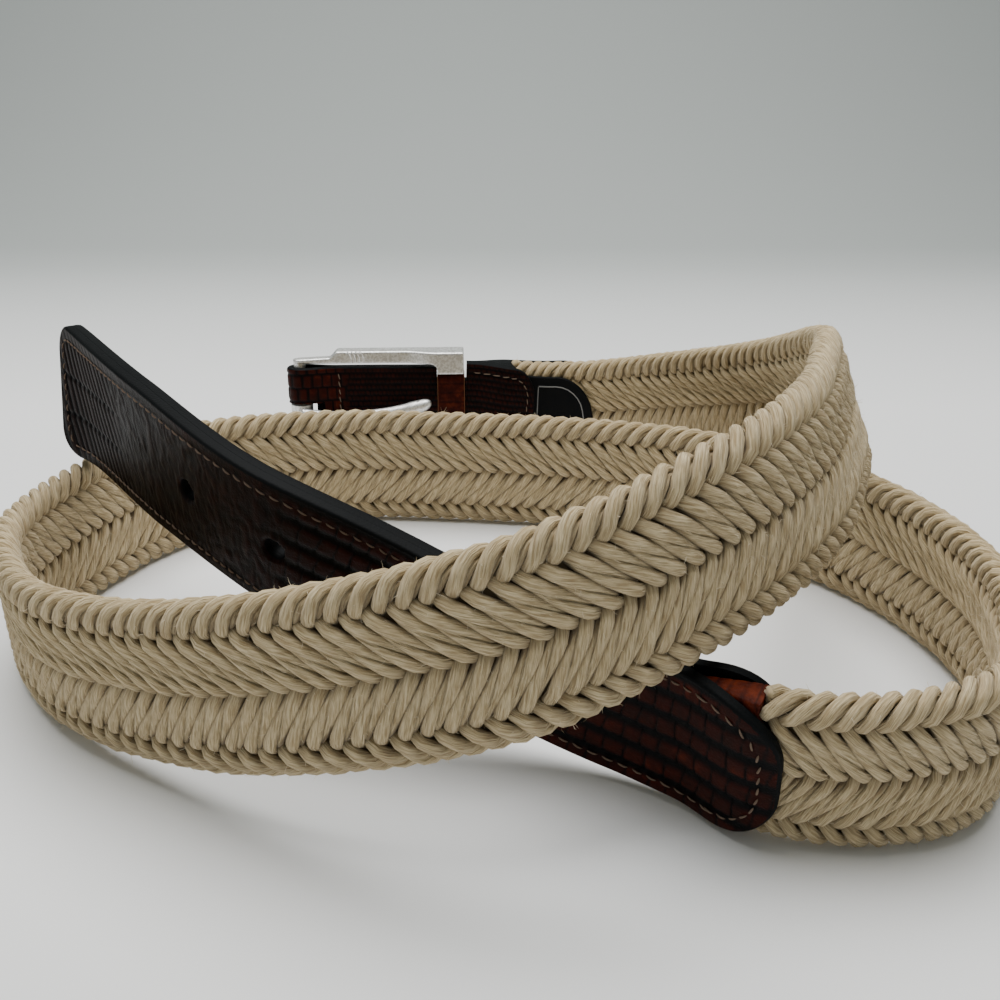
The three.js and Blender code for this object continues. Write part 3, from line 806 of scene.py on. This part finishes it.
HOLES = [(route.total - FIRST_HOLE - k * HOLE_PITCH, 0.0, HOLE_RADIUS) for k in range(HOLE_COUNT)]
STRAP_RADII = (STRAP_JOINT_RADIUS, STRAP_TIP_RADIUS)
strap = Layer(on_strap(-1), JOINT_AT, route.total, STRAP_WIDTH, STRAP_RADII, LEATHER)
strap.fill = strap_fill
lining = Layer(on_strap(1), JOINT_AT, route.total, STRAP_WIDTH, STRAP_RADII, LEATHER)
lining.fill = strap_fill
STITCH_INSET = 3.1 * MM
TURN_AT = JOINT_AT + 12 * MM
JOINT_LINE = inset_line(TURN_AT, 2 * TURN_AT - JOINT_AT, STRAP_WIDTH, STITCH_INSET, STRAP_JOINT_RADIUS)
STRAP_STITCHES = [
    inset_line(TURN_AT, route.total, STRAP_WIDTH, STITCH_INSET, STRAP_TIP_RADIUS),
    [(2 * TURN_AT - x, y) for x, y in JOINT_LINE],
]


def near_stitches(inset, distance):
    return dip(inset - distance, CHANNEL_HALF)


def strap_face(length, height):
    channel = near_stitches(strap.inset_of(length, height), STITCH_INSET)
    bulge = smooth_step(STITCH_INSET - 0.4 * MM, STITCH_INSET + 0.6 * MM, strap.inset_of(length, height))
    return strap_relief(length, height) * (0.35 + 0.65 * bulge) - 0.17 * MM * channel


def strap_rows():
    """Rows along the strap, closer together near the tip, where the ridges are."""
    ends = edge_steps(STRAP_LENGTH, 0.36 * MM) + JOINT_AT
    fine_from = route.total - TIP_PART[1]
    fine = np.arange(fine_from, route.total - NEAR_EDGE[-1], 0.25 * MM)
    near_tip = ends[ends > route.total - NEAR_EDGE[-1] - 1e-7]
    return np.concatenate([ends[ends < fine_from - 0.1 * MM], fine, near_tip])


def tip_strap():
    made = leather_piece(
        "strap_leather", strap, 0.5 * MM, [BROWN, PAINT, BLACK], relief=strap_face, rows=strap_rows(),
        marks={"groove": strap_groove, "warm": strap_warmth}, holes=HOLES, paint_width=0.55 * MM)
    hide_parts("tip_strap")
    back = leather_piece("strap_lining", lining, 1.3 * MM, [BLACK, PAINT, BLACK], holes=HOLES)
    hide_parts("tip_lining")
    stitches("strap_stitches", strap, STRAP_STITCHES)
    stitches("lining_stitches", lining, STRAP_STITCHES)


# The tab at the buckle's end

TAB_FROM = -(TAB_OUTER + HALF_WRAP)
TAB_TO = TAB_FOLDED + HALF_WRAP
NOTCH_HALF = KEEPER_HEIGHT / 2 - KEEPER_THICKNESS - CLEARANCE
NOTCH_FROM = KEEPER_FROM - CLEARANCE
NOTCH_TO = KEEPER_FROM + KEEPER_WIDTH + CLEARANCE


def tab_pinch(path):
    """The tab is narrower between the frame's rails, and notched where the frame's corners reach round it."""
    s = np.abs(path) - HALF_WRAP
    half = mix(TAB_WIDTH_IN_FRAME / 2, TAB_WIDTH / 2, smooth_step(KEEPER_FROM, KEEPER_FROM + KEEPER_WIDTH, s))
    return np.where((s > NOTCH_FROM) & (s < NOTCH_TO), NOTCH_HALF, half)


def tab_fill(path):
    """How far each run reaches in to meet the other, past the fold and up to the rope's end."""
    s = np.abs(path) - HALF_WRAP
    outer = tab_offset(s, OVER_ROPE)
    inner = tab_offset(s, OVER_LINER)
    gap = np.where(path < 0, outer, inner) - LEATHER / 2 - SEAM_GAP
    return gap * smooth_step(FOLD_TAPER - 3 * MM, FOLD_TAPER + 1 * MM, s) * (s < ROPE_START - CLEARANCE)


tab = Layer(on_tab, TAB_FROM, TAB_TO, TAB_WIDTH, (TAB_RADIUS, TAB_RADIUS), LEATHER)
tab.pinch = tab_pinch
tab.fill = tab_fill
FOLD_STITCH_AT = 13 * MM + HALF_WRAP
FOLD_STITCH_HALF = 13 * MM
TAB_STITCH_FROM = NOTCH_TO + HALF_WRAP + 2 * MM
TAB_OUTER_LINE = inset_line(TAB_STITCH_FROM, -TAB_FROM, TAB_WIDTH, STITCH_INSET, TAB_RADIUS)
TAB_STITCHES = [
    [(FOLD_STITCH_AT, -FOLD_STITCH_HALF), (FOLD_STITCH_AT, FOLD_STITCH_HALF)],
    [(-FOLD_STITCH_AT, -FOLD_STITCH_HALF), (-FOLD_STITCH_AT, FOLD_STITCH_HALF)],
    inset_line(TAB_STITCH_FROM, TAB_TO, TAB_WIDTH, STITCH_INSET, TAB_RADIUS),
    [(-x, y) for x, y in TAB_OUTER_LINE],
]


def tab_face(path, height):
    behind = (np.abs(path) > NOTCH_TO + HALF_WRAP)
    channel = near_stitches(tab.inset_of(path, height), STITCH_INSET) * behind
    across = dip(np.abs(path) - FOLD_STITCH_AT, CHANNEL_HALF)
    return tab_relief(path, height) - 0.15 * MM * channel - 0.18 * MM * across


def tab_rows():
    """Rows along the tab, with a pair at each side of its notches and at the ends of the prong's slot."""
    rows = TAB_FROM + edge_steps(TAB_TO - TAB_FROM, 0.5 * MM)
    breaks = [side * (x + HALF_WRAP) for side in (-1, 1) for x in (NOTCH_FROM, NOTCH_TO)]
    breaks += [-EYE_SLOT - HALF_WRAP, SHANK_SLOT + HALF_WRAP]
    clear = [np.abs(rows - x) > 0.12 * MM for x in breaks]
    pairs = np.ravel([[x - SEAM_GAP, x + SEAM_GAP] for x in breaks])
    return np.sort(np.concatenate([rows[np.all(clear, axis=0)], pairs]))


def buckle_tab():
    slot = (-EYE_SLOT - HALF_WRAP, SHANK_SLOT + HALF_WRAP, SLOT_HALF)
    made = leather_piece(
        "tab_leather", tab, 0.5 * MM, [BROWN, PAINT, BLACK], relief=tab_face,
        marks={"groove": tab_groove, "warm": tab_warmth}, slots=[slot], rows=tab_rows(), paint_width=0.4 * MM)
    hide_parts("buckle_tab")
    stitches("tab_stitches", tab, TAB_STITCHES)


# Places in the buckle's own axes: x along the tab from the bar, y away from the coil, z up

bar_origin, bar_along, _, bar_inner = (v[0] for v in route.at([0.0]))


def at_bar(points):
    points = np.asarray(points, float)
    return (
        bar_origin
        + points[..., 0:1] * bar_along
        - points[..., 1:2] * bar_inner
        + points[..., 2:3] * np.array([0.0, 0.0, 1.0])
    )


# Keeper loop: a strip bent round a rectangle with rounded corners, meeting at the back

KEEPER_IN = OVER_LEATHER + LEATHER / 2 + CLEARANCE
KEEPER_BEND = 0.9 * MM


def keeper_line():
    """The strip's middle line from its back and round: (y, z) points, outward directions and lengths."""
    half_y = KEEPER_IN + KEEPER_THICKNESS / 2 - KEEPER_BEND
    half_z = KEEPER_HEIGHT / 2 - KEEPER_THICKNESS / 2 - KEEPER_BEND
    points, outs = [(half_y + KEEPER_BEND, 0.0)], [(1.0, 0.0)]
    for corner_y, corner_z, from_turn in ((1, 1, 0), (-1, 1, 1), (-1, -1, 2), (1, -1, 3)):
        for turn in (from_turn + np.linspace(0, 1, 7)) * math.pi / 2:
            out_y, out_z = math.cos(turn), math.sin(turn)
            points.append((corner_y * half_y + KEEPER_BEND * out_y, corner_z * half_z + KEEPER_BEND * out_z))
            outs.append((out_y, out_z))
    points.append(points[0])
    outs.append(outs[0])
    return np.array(points), np.array(outs), lengths_along(points)


keeper_points, keeper_outs, keeper_lengths = keeper_line()


def on_keeper(path, height, off):
    path, height, off = np.broadcast_arrays(path, height, off)
    middle = at_lengths(path, keeper_lengths, keeper_points)
    out = unit(at_lengths(path, keeper_lengths, keeper_outs))
    x = KEEPER_FROM + KEEPER_WIDTH / 2 + height
    return at_bar(np.concatenate([x[..., None], middle + off[..., None] * out], axis=-1))


def keeper_loop():
    radii = (0.3 * MM, 0.3 * MM)
    layer = Layer(
        on_keeper, 0.0, keeper_lengths[-1], KEEPER_WIDTH, radii, KEEPER_THICKNESS, 0.5 * MM, 0.2 * MM)

    def relief(path, height):
        rows = grooves(path + 0.6 * MM, 3.1 * MM, 0.4 * MM)
        return -0.1 * MM * rows - 0.05 * MM * lattice_noise(path / (0.7 * MM), height / (0.7 * MM), 35)

    def warmth(path, height):
        return 1.15 + 0.35 * (lattice_noise(path / (2.5 * MM), height / (2.5 * MM), 36) - 0.5)

    made = leather_piece(
        "keeper_loop", layer, 0.35 * MM, [BROWN, RAW, RAW], relief=relief,
        marks={"groove": lambda p, h: np.clip(-relief(p, h) / (0.2 * MM), 0, 1), "warm": warmth},
        paint_width=0.25 * MM)
    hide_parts("keeper")


# The lining's tongue, with a pale border line inset from its rim, and the filler by the strap


def on_liner(length, height, off):
    return on_band(length, height, BAND_THICKNESS / 2 + CLEARANCE + LINER_THICKNESS / 2 + off)


def buckle_lining():
    layer = Layer(on_liner, LINER_FROM, LINER_TO, LINER_WIDTH, (1 * MM, LINER_RADIUS), LINER_THICKNESS,
                  0.4 * MM, 0.3 * MM)
    made = leather_piece("lining_tongue", layer, 0.8 * MM, [BLACK, PAINT, BLACK])
    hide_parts("buckle_lining")
    border = inset_line(TAB_FOLDED + 1.6 * MM, LINER_TO, LINER_WIDTH, 3.2 * MM, LINER_RADIUS)
    border.append(border[0])
    at, way = walk(border, 0.3 * MM)
    side = np.stack([-way[:, 1], way[:, 0]], axis=1)
    around = circle(STITCH_SIDES)
    spread = at[:, None, :] + 0.2 * MM * np.cos(around)[:, None] * side[:, None, :]
    lift = 0.06 * MM * np.sin(around)[None, :] + 0 * spread[..., 0]
    face = layer.face_at(spread[..., 0], spread[..., 1])
    points = layer.place(spread[..., 0], spread[..., 1], face + lift)
    line = new_piece("lining_border", points, tube_faces(len(at), STITCH_SIDES), [BORDER], "belt")


def tip_filler():
    """The wedge that closes the gap between the strap's layers at the end of the rope."""
    start = ROPE_END + CLEARANCE
    end = ROPE_END + 0.7 * STRAP_TAPER
    rows = start + edge_steps(end - start, 0.35 * MM)
    half = STRAP_WIDTH / 2 - 1.3 * MM
    columns = half - edge_steps(2 * half, 0.9 * MM)
    along_grid, height_grid = np.meshgrid(rows, columns, indexing="ij")
    room = strap_offset(along_grid) - LEATHER / 2 - 0.35 * MM
    into = np.minimum(half - np.abs(height_grid), along_grid - start)
    wobble = 0.5 * MM * lattice_noise(along_grid / MM, height_grid / MM, 41)
    crack = grooves(along_grid + wobble, 2.3 * MM, 0.3 * MM)
    depth = np.maximum(room - roll_off(into, 0.8 * MM) - 0.15 * MM * crack, 0.1 * MM)
    points = [on_band(along_grid, height_grid, off) for off in (depth, -depth)]
    faces, walls = slab_faces(np.ones((len(rows) - 1, len(columns) - 1), bool))
    marks = {"groove": np.tile(crack.ravel(), 2) * 0.6, "warm": np.full(2 * crack.size, 1.5)}
    made = new_piece("filler_wedge", points, faces + walls, [BROWN], "belt", marks=marks)
    face_outward(made)
    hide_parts("tip_filler")


# Steel: a frame of two rails and an end bar, and a prong that turns on the frame's bar

FRAME_LENGTH = 54 * MM
FRAME_TOP = 20 * MM
WINDOW_TOP = 16 * MM
RAIL_FRONT = 4 * MM
RAIL_BACK = 2 * MM
SLIM_TOP = 18 * MM
SLIM_LENGTH = 12 * MM
SLIM_HALF = 2 * MM
END_FROM = FRAME_LENGTH - 8.6 * MM
END_FRONT = 7.4 * MM
END_BACK = 4.8 * MM
CORNER_LOW = KEEPER_HEIGHT / 2 + CLEARANCE
CORNER_FILLET = 2.2 * MM
RAMP = (SLIM_LENGTH - 2.2 * MM, SLIM_LENGTH + 0.8 * MM)
RAIL_END_ROUNDING = 0.4 * MM
END_TOP = 18.4 * MM
END_ROUNDING = 2 * MM
ENGRAVED_LINES = 4
ENGRAVED_FROM = 16.6 * MM
ENGRAVED_PITCH = 1.35 * MM
ENGRAVED_BOW = 3 * MM
ENGRAVED_SLANT = 0.9 * MM
ENGRAVED_DEPTH = 0.2 * MM
ENGRAVED_HALF = 0.42 * MM
BAR_FRONT = OVER_LEATHER + LEATHER / 2 + KEEPER_THICKNESS + 2 * CLEARANCE
SECTION_SIDES = 56
SECTION_CORNER = 0.55 * MM
BEND_POINTS = 4
BAR_SIDES = 28
EYE_SIDES = 36
SHANK_SIDES = 24
STEEL_SHARP_ANGLE = 35


def rounded_section(y_low, y_high, z_low, z_high, corner):
    """Points round a rectangle with rounded corners, with even steps along its sides, as (y, z) rows."""
    corner = max(min(corner, 0.49 * (y_high - y_low), 0.49 * (z_high - z_low)), 1e-6)
    centres = np.array([(y, z) for y, z in (
        (y_high - corner, z_high - corner), (y_low + corner, z_high - corner),
        (y_low + corner, z_low + corner), (y_high - corner, z_low + corner))])
    steps = SECTION_SIDES // 4 - BEND_POINTS + 1
    points = []
    for turn in range(4):
        for angle in (turn + np.linspace(0, 1, BEND_POINTS)) * math.pi / 2:
            out = corner * np.array([math.cos(angle), math.sin(angle)])
            points.append(centres[turn] + out)
        stop = centres[(turn + 1) % 4] + out
        points += [mix(points[-1], stop, share) for share in np.arange(1, steps) / steps]
    return np.array(points)


def closed_loft(sections):
    """Points and faces of a body whose sections, rows of points, all have the same count."""
    sides = len(sections[0])
    points = np.vstack(sections)
    faces = tube_faces(len(sections), sides)
    faces.append(list(range(sides))[::-1])
    faces.append(list(range(len(points) - sides, len(points))))
    return points, faces


def rail():
    """The upper rail with its corner block, as sections along x."""
    ends = -SLIM_HALF + SLIM_HALF * (1 - np.cos(np.linspace(0.12, 1, 9) * math.pi / 2))
    ramp = np.linspace(*RAMP, 13)
    plain_run = np.linspace(SLIM_LENGTH + 1.3 * MM, 15 * MM, 4)
    engraved = np.arange(15.1 * MM, 22.4 * MM, 0.1 * MM)
    straight = np.linspace(23 * MM, 35 * MM, 9)
    bend = np.linspace(35.8 * MM, END_FROM - 0.02 * MM, 28)
    block = END_FROM + np.array([0.0, 0.15, 0.4, 0.8, 1.5, 3, 5, 7, 7.9, 8.2, 8.4, 8.52, 8.6]) * MM
    slim = np.array([2, 5, 8]) * MM
    stations = np.concatenate([ends, slim, ramp, plain_run, engraved, straight, bend, block])
    sections = []
    for x in stations:
        grown = smooth_step(*RAMP, x)
        reach = SLIM_HALF if x > 0 else math.sqrt(max(SLIM_HALF**2 - x**2, (0.2 * MM) ** 2))
        y_high = mix(reach, RAIL_FRONT, grown)
        low_bend = smooth_step(34 * MM, END_FROM, x)
        y_low = -mix(mix(reach, RAIL_BACK, grown), END_BACK, low_bend)
        z_high = mix(SLIM_TOP - 0.05 * (SLIM_LENGTH - x) * (x < SLIM_LENGTH), FRAME_TOP, grown)
        fillet = np.clip(x - (END_FROM - CORNER_FILLET), 0, CORNER_FILLET)
        z_low = WINDOW_TOP - (CORNER_FILLET - math.sqrt(CORNER_FILLET**2 - fillet**2))
        if x >= END_FROM:
            y_high, z_low = RAIL_FRONT, CORNER_LOW
        past = max(x - (FRAME_LENGTH - RAIL_END_ROUNDING), 0)
        shrink = RAIL_END_ROUNDING - math.sqrt(max(RAIL_END_ROUNDING**2 - past**2, 0))
        section = rounded_section(
            y_low + shrink, y_high - shrink, z_low + shrink, z_high - shrink, SECTION_CORNER)
        on_face = smooth_step(y_low + 0.8 * MM, y_low, section[:, 0])
        share = (section[:, 1] - WINDOW_TOP) / (FRAME_TOP - WINDOW_TOP)
        for k in range(ENGRAVED_LINES):
            start = ENGRAVED_FROM + ENGRAVED_PITCH * k
            middle = start + ENGRAVED_BOW * (1 - share) * share - ENGRAVED_SLANT * share
            section[:, 0] += ENGRAVED_DEPTH * dip(x - middle, ENGRAVED_HALF) * on_face
        sections.append(np.column_stack([np.full(len(section), x), section]))
    return closed_loft(sections)


def ring(radius, z, around):
    return np.column_stack([radius * np.cos(around), radius * np.sin(around), np.full(len(around), z)])


def end_bar():
    sections = []
    near_top = END_TOP - np.array([0, 0.03, 0.2, 0.6, 1.4, 2.4, 4.4]) * MM
    half = np.concatenate([near_top, [CORNER_LOW + 0.05 * MM, CORNER_LOW, 0]])
    for z in np.concatenate([-half, half[-2::-1]]):
        past = max(abs(z) - (END_TOP - END_ROUNDING), 0)
        shrink = END_ROUNDING - math.sqrt(max(END_ROUNDING**2 - past**2, 0))
        low = BAR_FRONT if abs(z) < CORNER_LOW + 0.02 * MM else RAIL_FRONT - 0.6 * MM
        section = rounded_section(
            low, END_FRONT - shrink, END_FROM + 0.12 * MM, FRAME_LENGTH - 0.12 * MM, 0.5 * MM)
        sections.append(np.column_stack([section[:, 1], section[:, 0], np.full(len(section), z)]))
    return closed_loft(sections)


def joined(bodies):
    points, faces, first = [], [], 0
    for body_points, body_faces in bodies:
        points.append(body_points)
        faces += [[k + first for k in face] for face in body_faces]
        first += len(body_points)
    return np.vstack(points), faces


def steel_piece(name, bodies, body, node):
    points, faces = joined(bodies)
    made = new_piece(name, at_bar(points), faces, [STEEL], body)
    face_outward(made)
    made.data.set_sharp_from_angle(angle=math.radians(STEEL_SHARP_ANGLE))
    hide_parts(node)


def buckle_frame():
    upper = rail()
    lower = (upper[0] * [1, 1, -1], upper[1])
    bar_half = WINDOW_TOP + 0.5 * MM
    bar = closed_loft([ring(BAR_RADIUS, z, circle(BAR_SIDES)) for z in (-bar_half, bar_half)])
    steel_piece("frame_steel", [upper, lower, end_bar(), bar], "buckle", "buckle_frame")


PRONG_RADIUS = 2.3 * MM
PRONG_REACH = KEEPER_FROM - 2 * MM
PRONG_RISE = 3 * MM
PRONG_BOW = 2.4 * MM
PRONG_FLATTENING = 0.85
TIP_FROM = 0.9
EYE_HALF = 2.5 * MM
EYE_WALL = 1.4 * MM

# The prong's half width as a share of PRONG_RADIUS, at shares of its reach
PRONG_ROWS = (
    (0, 0.75),
    (0.3, 0.72),
    (0.7, 0.82),
    (0.8, 0.9),
    (0.84, 1.0),
    (0.93, 0.98),
)


def prong():
    inner = BAR_RADIUS + CLEARANCE
    outer = inner + EYE_WALL
    soft = 0.35 * MM
    profile = [(inner, -EYE_HALF + 0.1 * MM), (outer - soft, -EYE_HALF), (outer, -EYE_HALF + soft),
               (outer, EYE_HALF - soft), (outer - soft, EYE_HALF), (inner, EYE_HALF - 0.1 * MM)]
    rings = [ring(radius, z, circle(EYE_SIDES)) for radius, z in profile]
    last = (len(rings) - 1) * EYE_SIDES
    turns = [(k, (k + 1) % EYE_SIDES) for k in range(EYE_SIDES)]
    inside = [[last + k, last + after, after, k] for k, after in turns]
    eye = (np.vstack(rings), tube_faces(len(rings), EYE_SIDES) + inside)
    clear = OVER_LEATHER + LEATHER / 2 + CLEARANCE
    tip = np.sin(np.linspace(0, 1, 14) * math.pi / 2)
    shares = np.concatenate([np.linspace(0.02, TIP_FROM, 45), 1 - (1 - TIP_FROM) * (1 - tip)])
    turn = circle(SHANK_SIDES)
    knots, sizes = np.array(PRONG_ROWS).T
    sections = []
    for share in shares:
        size = np.interp(share, knots, sizes)
        if share > TIP_FROM:
            size = 0.98 * math.sqrt(max(1 - ((share - TIP_FROM) / (1 - TIP_FROM)) ** 2.6, 0.004))
        radius = size * PRONG_RADIUS
        off = max(clear + PRONG_RADIUS * PRONG_FLATTENING, inner + 0.7 * radius)
        y = -off - radius * PRONG_FLATTENING * np.cos(turn)
        z = share * PRONG_RISE - PRONG_BOW * 4 * share * (1 - share) + radius * np.sin(turn)
        sections.append(np.column_stack([np.full(SHANK_SIDES, share * PRONG_REACH), y, z]))
    steel_piece("prong_steel", [eye, closed_loft(sections)], "tongue", "prong")


# Materials. Depths of bumps are in metres, and noise scales in bumps for each metre


def add(material, kind, inputs=None, **settings):
    """A node with its settings, and its inputs set to numbers or joined to other nodes' outputs."""
    node = material.node_tree.nodes.new(kind)
    for key, value in settings.items():
        setattr(node, key, value)
    for socket, value in (inputs or {}).items():
        if isinstance(value, bpy.types.NodeSocket):
            material.node_tree.links.new(value, node.inputs[socket])
        else:
            node.inputs[socket].default_value = value
    return node


def plain(name, colour, roughness, **inputs):
    made = bpy.data.materials.new(name)
    made.use_nodes = True
    shader = made.node_tree.nodes["Principled BSDF"]
    shader.inputs["Base Color"].default_value = (*colour, 1)
    shader.inputs["Roughness"].default_value = roughness
    for socket, value in inputs.items():
        shader.inputs[socket.replace("_", " ")].default_value = value
    return made


def join(material, socket, output):
    material.node_tree.links.new(output, material.node_tree.nodes["Principled BSDF"].inputs[socket])


def scaled(material, vector, scale):
    return add(material, "ShaderNodeVectorMath", {0: vector, 1: scale}, operation="MULTIPLY").outputs[0]


def place_of(material):
    return add(material, "ShaderNodeTexCoord").outputs["Object"]


def mark_of(material, name):
    return add(material, "ShaderNodeAttribute", attribute_name=name).outputs["Fac"]


def noise(material, vector, scale, detail=2.0):
    inputs = {"Vector": scaled(material, vector, scale), "Scale": 1.0, "Detail": detail}
    return add(material, "ShaderNodeTexNoise", inputs).outputs["Fac"]


def blend_colour(material, share, low, high):
    inputs = {"Factor": share, 6: low if not isinstance(low, tuple) else (*low, 1)}
    inputs[7] = high if not isinstance(high, tuple) else (*high, 1)
    return add(material, "ShaderNodeMix", inputs, data_type="RGBA").outputs[2]


def remap(material, value, low, high, to_low=0.0, to_high=1.0):
    inputs = {"Value": value, "From Min": low, "From Max": high, "To Min": to_low, "To Max": to_high}
    return add(material, "ShaderNodeMapRange", inputs).outputs["Result"]


def bumped(material, height, depth):
    inputs = {"Height": height, "Distance": depth, "Strength": 1.0}
    join(material, "Normal", add(material, "ShaderNodeBump", inputs).outputs["Normal"])


def cotton():
    made = plain("cotton", (0.6, 0.46, 0.26), 0.95, Sheen_Weight=0.12, Sheen_Roughness=0.6)
    along_cord = add(made, "ShaderNodeUVMap", uv_map="Belt").outputs["UV"]
    fibres = noise(made, along_cord, (420, 6500, 1), 4.0)
    threads = noise(made, along_cord, (300, 2600, 1), 2.0)
    blotches = noise(made, along_cord, (260, 260, 1), 1.0)
    shade = add(made, "ShaderNodeMath", {0: fibres, 1: threads}, operation="ADD").outputs[0]
    straw = blend_colour(made, remap(made, shade, 0.82, 1.16), (0.36, 0.255, 0.12), (0.72, 0.585, 0.35))
    blotched = blend_colour(made, remap(made, blotches, 0.35, 0.7, 0, 0.35), straw, (0.5, 0.37, 0.2))
    # Painted shade: the cotton is blended towards a dark brown where the cords turn away from the outside and
    # dive, on top of the shade the light gives
    shaded = remap(made, mark_of(made, "painted_shade"), 0, 1, 0, 0.85)
    join(made, "Base Color", blend_colour(made, shaded, blotched, (0.13, 0.085, 0.04)))
    bumped(made, shade, 0.00045)
    return made


def leather(name, grain):
    """Brown leather, dark in its grooves and redder where its warm mark is high."""
    made = plain(name, (0.03, 0.01, 0.006), 0.46, Specular_IOR_Level=0.06)
    warm = mark_of(made, "warm")
    groove = mark_of(made, "groove")
    place = place_of(made)
    mottle = noise(made, place, (420, 420, 420), 3.0)
    redness = add(made, "ShaderNodeMath", {0: warm, 1: remap(made, mottle, 0.3, 0.7, 0.6, 1.3)},
                  operation="MULTIPLY").outputs[0]
    skin = blend_colour(made, remap(made, redness, 0.0, 1.0), (0.007, 0.0034, 0.0024), (0.034, 0.0046, 0.002))
    bright = blend_colour(made, remap(made, redness, 1.0, 2.2), skin, (0.14, 0.022, 0.006))
    join(made, "Base Color", blend_colour(made, groove, bright, (0.0018, 0.002, 0.0023)))
    bumped(made, noise(made, place, (grain, grain, grain), 3.0), 0.00012)
    return made


def painted(name, colour, roughness, grain, depth):
    made = plain(name, colour, roughness, Specular_IOR_Level=0.06)
    place = place_of(made)
    grain_noise = noise(made, place, (grain, grain, grain), 3.0)
    darker = tuple(0.6 * c for c in colour)
    join(made, "Base Color", blend_colour(made, grain_noise, darker, colour))
    bumped(made, grain_noise, depth)
    return made


def steel():
    made = plain("steel", (0.74, 0.74, 0.72), 0.36, Metallic=1.0)
    place = place_of(made)
    brush = noise(made, place, (300, 9000, 9000), 2.0)
    worn = noise(made, place, (1500, 1500, 1500), 2.0)
    tint = blend_colour(made, remap(made, worn, 0.42, 0.6), (0.66, 0.65, 0.62), (0.86, 0.86, 0.84))
    join(made, "Base Color", tint)
    join(made, "Roughness", remap(made, brush, 0.3, 0.7, 0.4, 0.54))
    bumped(made, brush, 0.00003)
    return made


BROWN = leather("brown_leather", 2200)
PAINT = painted("edge_paint", (0.004, 0.0048, 0.0052), 0.55, 2500, 0.00008)
BLACK = painted("black_leather", (0.005, 0.0055, 0.006), 0.6, 2600, 0.0001)
RAW = painted("raw_edge", (0.2, 0.09, 0.04), 0.8, 2500, 0.0001)
THREAD = painted("thread", (0.21, 0.15, 0.11), 0.9, 3500, 0.0001)
BORDER = painted("border_print", (0.3, 0.3, 0.29), 0.6, 3000, 0.00002)
STEEL = steel()
COTTON = cotton()
# Painted shade: the dark cotton of the braid's middle sheet
PAINTED_SHADE_COTTON = plain("painted_shade_cotton", (0.2, 0.145, 0.075), 0.95)
FUZZ = plain("loose_fibres", (0.74, 0.64, 0.46), 0.95)

braid()
tip_strap()
tip_filler()
buckle_tab()
keeper_loop()
buckle_lining()
buckle_frame()
prong()


# Floor, light and camera

FLOOR_COLOUR = (0.82, 0.82, 0.81)
# Colour of the painted shade towards the back of the floor and on the wall
PAINTED_SHADE_COLOUR = (0.45, 0.475, 0.46)
PAINTED_SHADE_FROM, PAINTED_SHADE_TO = 0.16, 0.56
FLOOR_FRONT, FLOOR_BACK = -2.5, 0.5
SWEEP_RADIUS = 0.6
WALL_TOP = 4.0
LIGHT_ABOVE = (-0.04, 0.1, 0.8)
CAMERA_FROM = np.array([5, -253, 124.8]) * MM
CAMERA_PITCH = 21.74

# Painted shade: the backdrop's colour goes from the pale floor to a mid grey between 0.16 m and 0.56 m behind
# the origin, standing in for the light falling off on the back of the floor and up the wall
floor_material = plain("backdrop", FLOOR_COLOUR, 0.9)
floor_back = add(floor_material, "ShaderNodeSeparateXYZ", {0: place_of(floor_material)}).outputs["Y"]
painted_shade_share = remap(floor_material, floor_back, PAINTED_SHADE_FROM, PAINTED_SHADE_TO)
join(floor_material, "Base Color", blend_colour(floor_material, painted_shade_share, FLOOR_COLOUR, PAINTED_SHADE_COLOUR))
sweep = [(FLOOR_BACK + SWEEP_RADIUS * math.sin(turn), SWEEP_RADIUS * (1 - math.cos(turn)))
         for turn in np.linspace(0, math.pi / 2, 13)]
profile = [(FLOOR_FRONT, 0.0), *sweep, (FLOOR_BACK + SWEEP_RADIUS, WALL_TOP)]
backdrop_mesh = bpy.data.meshes.new("backdrop")
backdrop_points = [(x, y, z) for y, z in profile for x in (-5, 5)]
backdrop_faces = [(2 * k, 2 * k + 1, 2 * k + 3, 2 * k + 2) for k in range(len(profile) - 1)]
backdrop_mesh.from_pydata(backdrop_points, [], backdrop_faces)
backdrop_mesh.polygons.foreach_set("use_smooth", [True] * len(backdrop_mesh.polygons))
backdrop_mesh.materials.append(floor_material)
backdrop = bpy.data.objects.new("backdrop", backdrop_mesh)
bpy.context.scene.collection.objects.link(backdrop)

light_data = bpy.data.lights.new("overhead", "AREA")
light_data.shape = "DISK"
light_data.size = 0.8
light_data.energy = 12.2
light = bpy.data.objects.new("overhead", light_data)
light.location = LIGHT_ABOVE
bpy.context.scene.collection.objects.link(light)
world = bpy.data.worlds.new("studio")
world.use_nodes = True
world.node_tree.nodes["Background"].inputs["Color"].default_value = (0.94, 1, 0.97, 1)
world.node_tree.nodes["Background"].inputs["Strength"].default_value = 0.3
bpy.context.scene.world = world

camera_data = bpy.data.cameras.new("camera")
camera_data.lens = 38.63
camera_data.sensor_width = 36
camera_data.clip_start = 0.01
camera = bpy.data.objects.new("camera", camera_data)
camera.location = route.offset + CAMERA_FROM
camera.rotation_euler = (math.radians(90 - CAMERA_PITCH), 0, 0)
bpy.context.scene.collection.objects.link(camera)
bpy.context.scene.camera = camera


def span(box):
    return [[float(x) for x in corner] for corner in box]
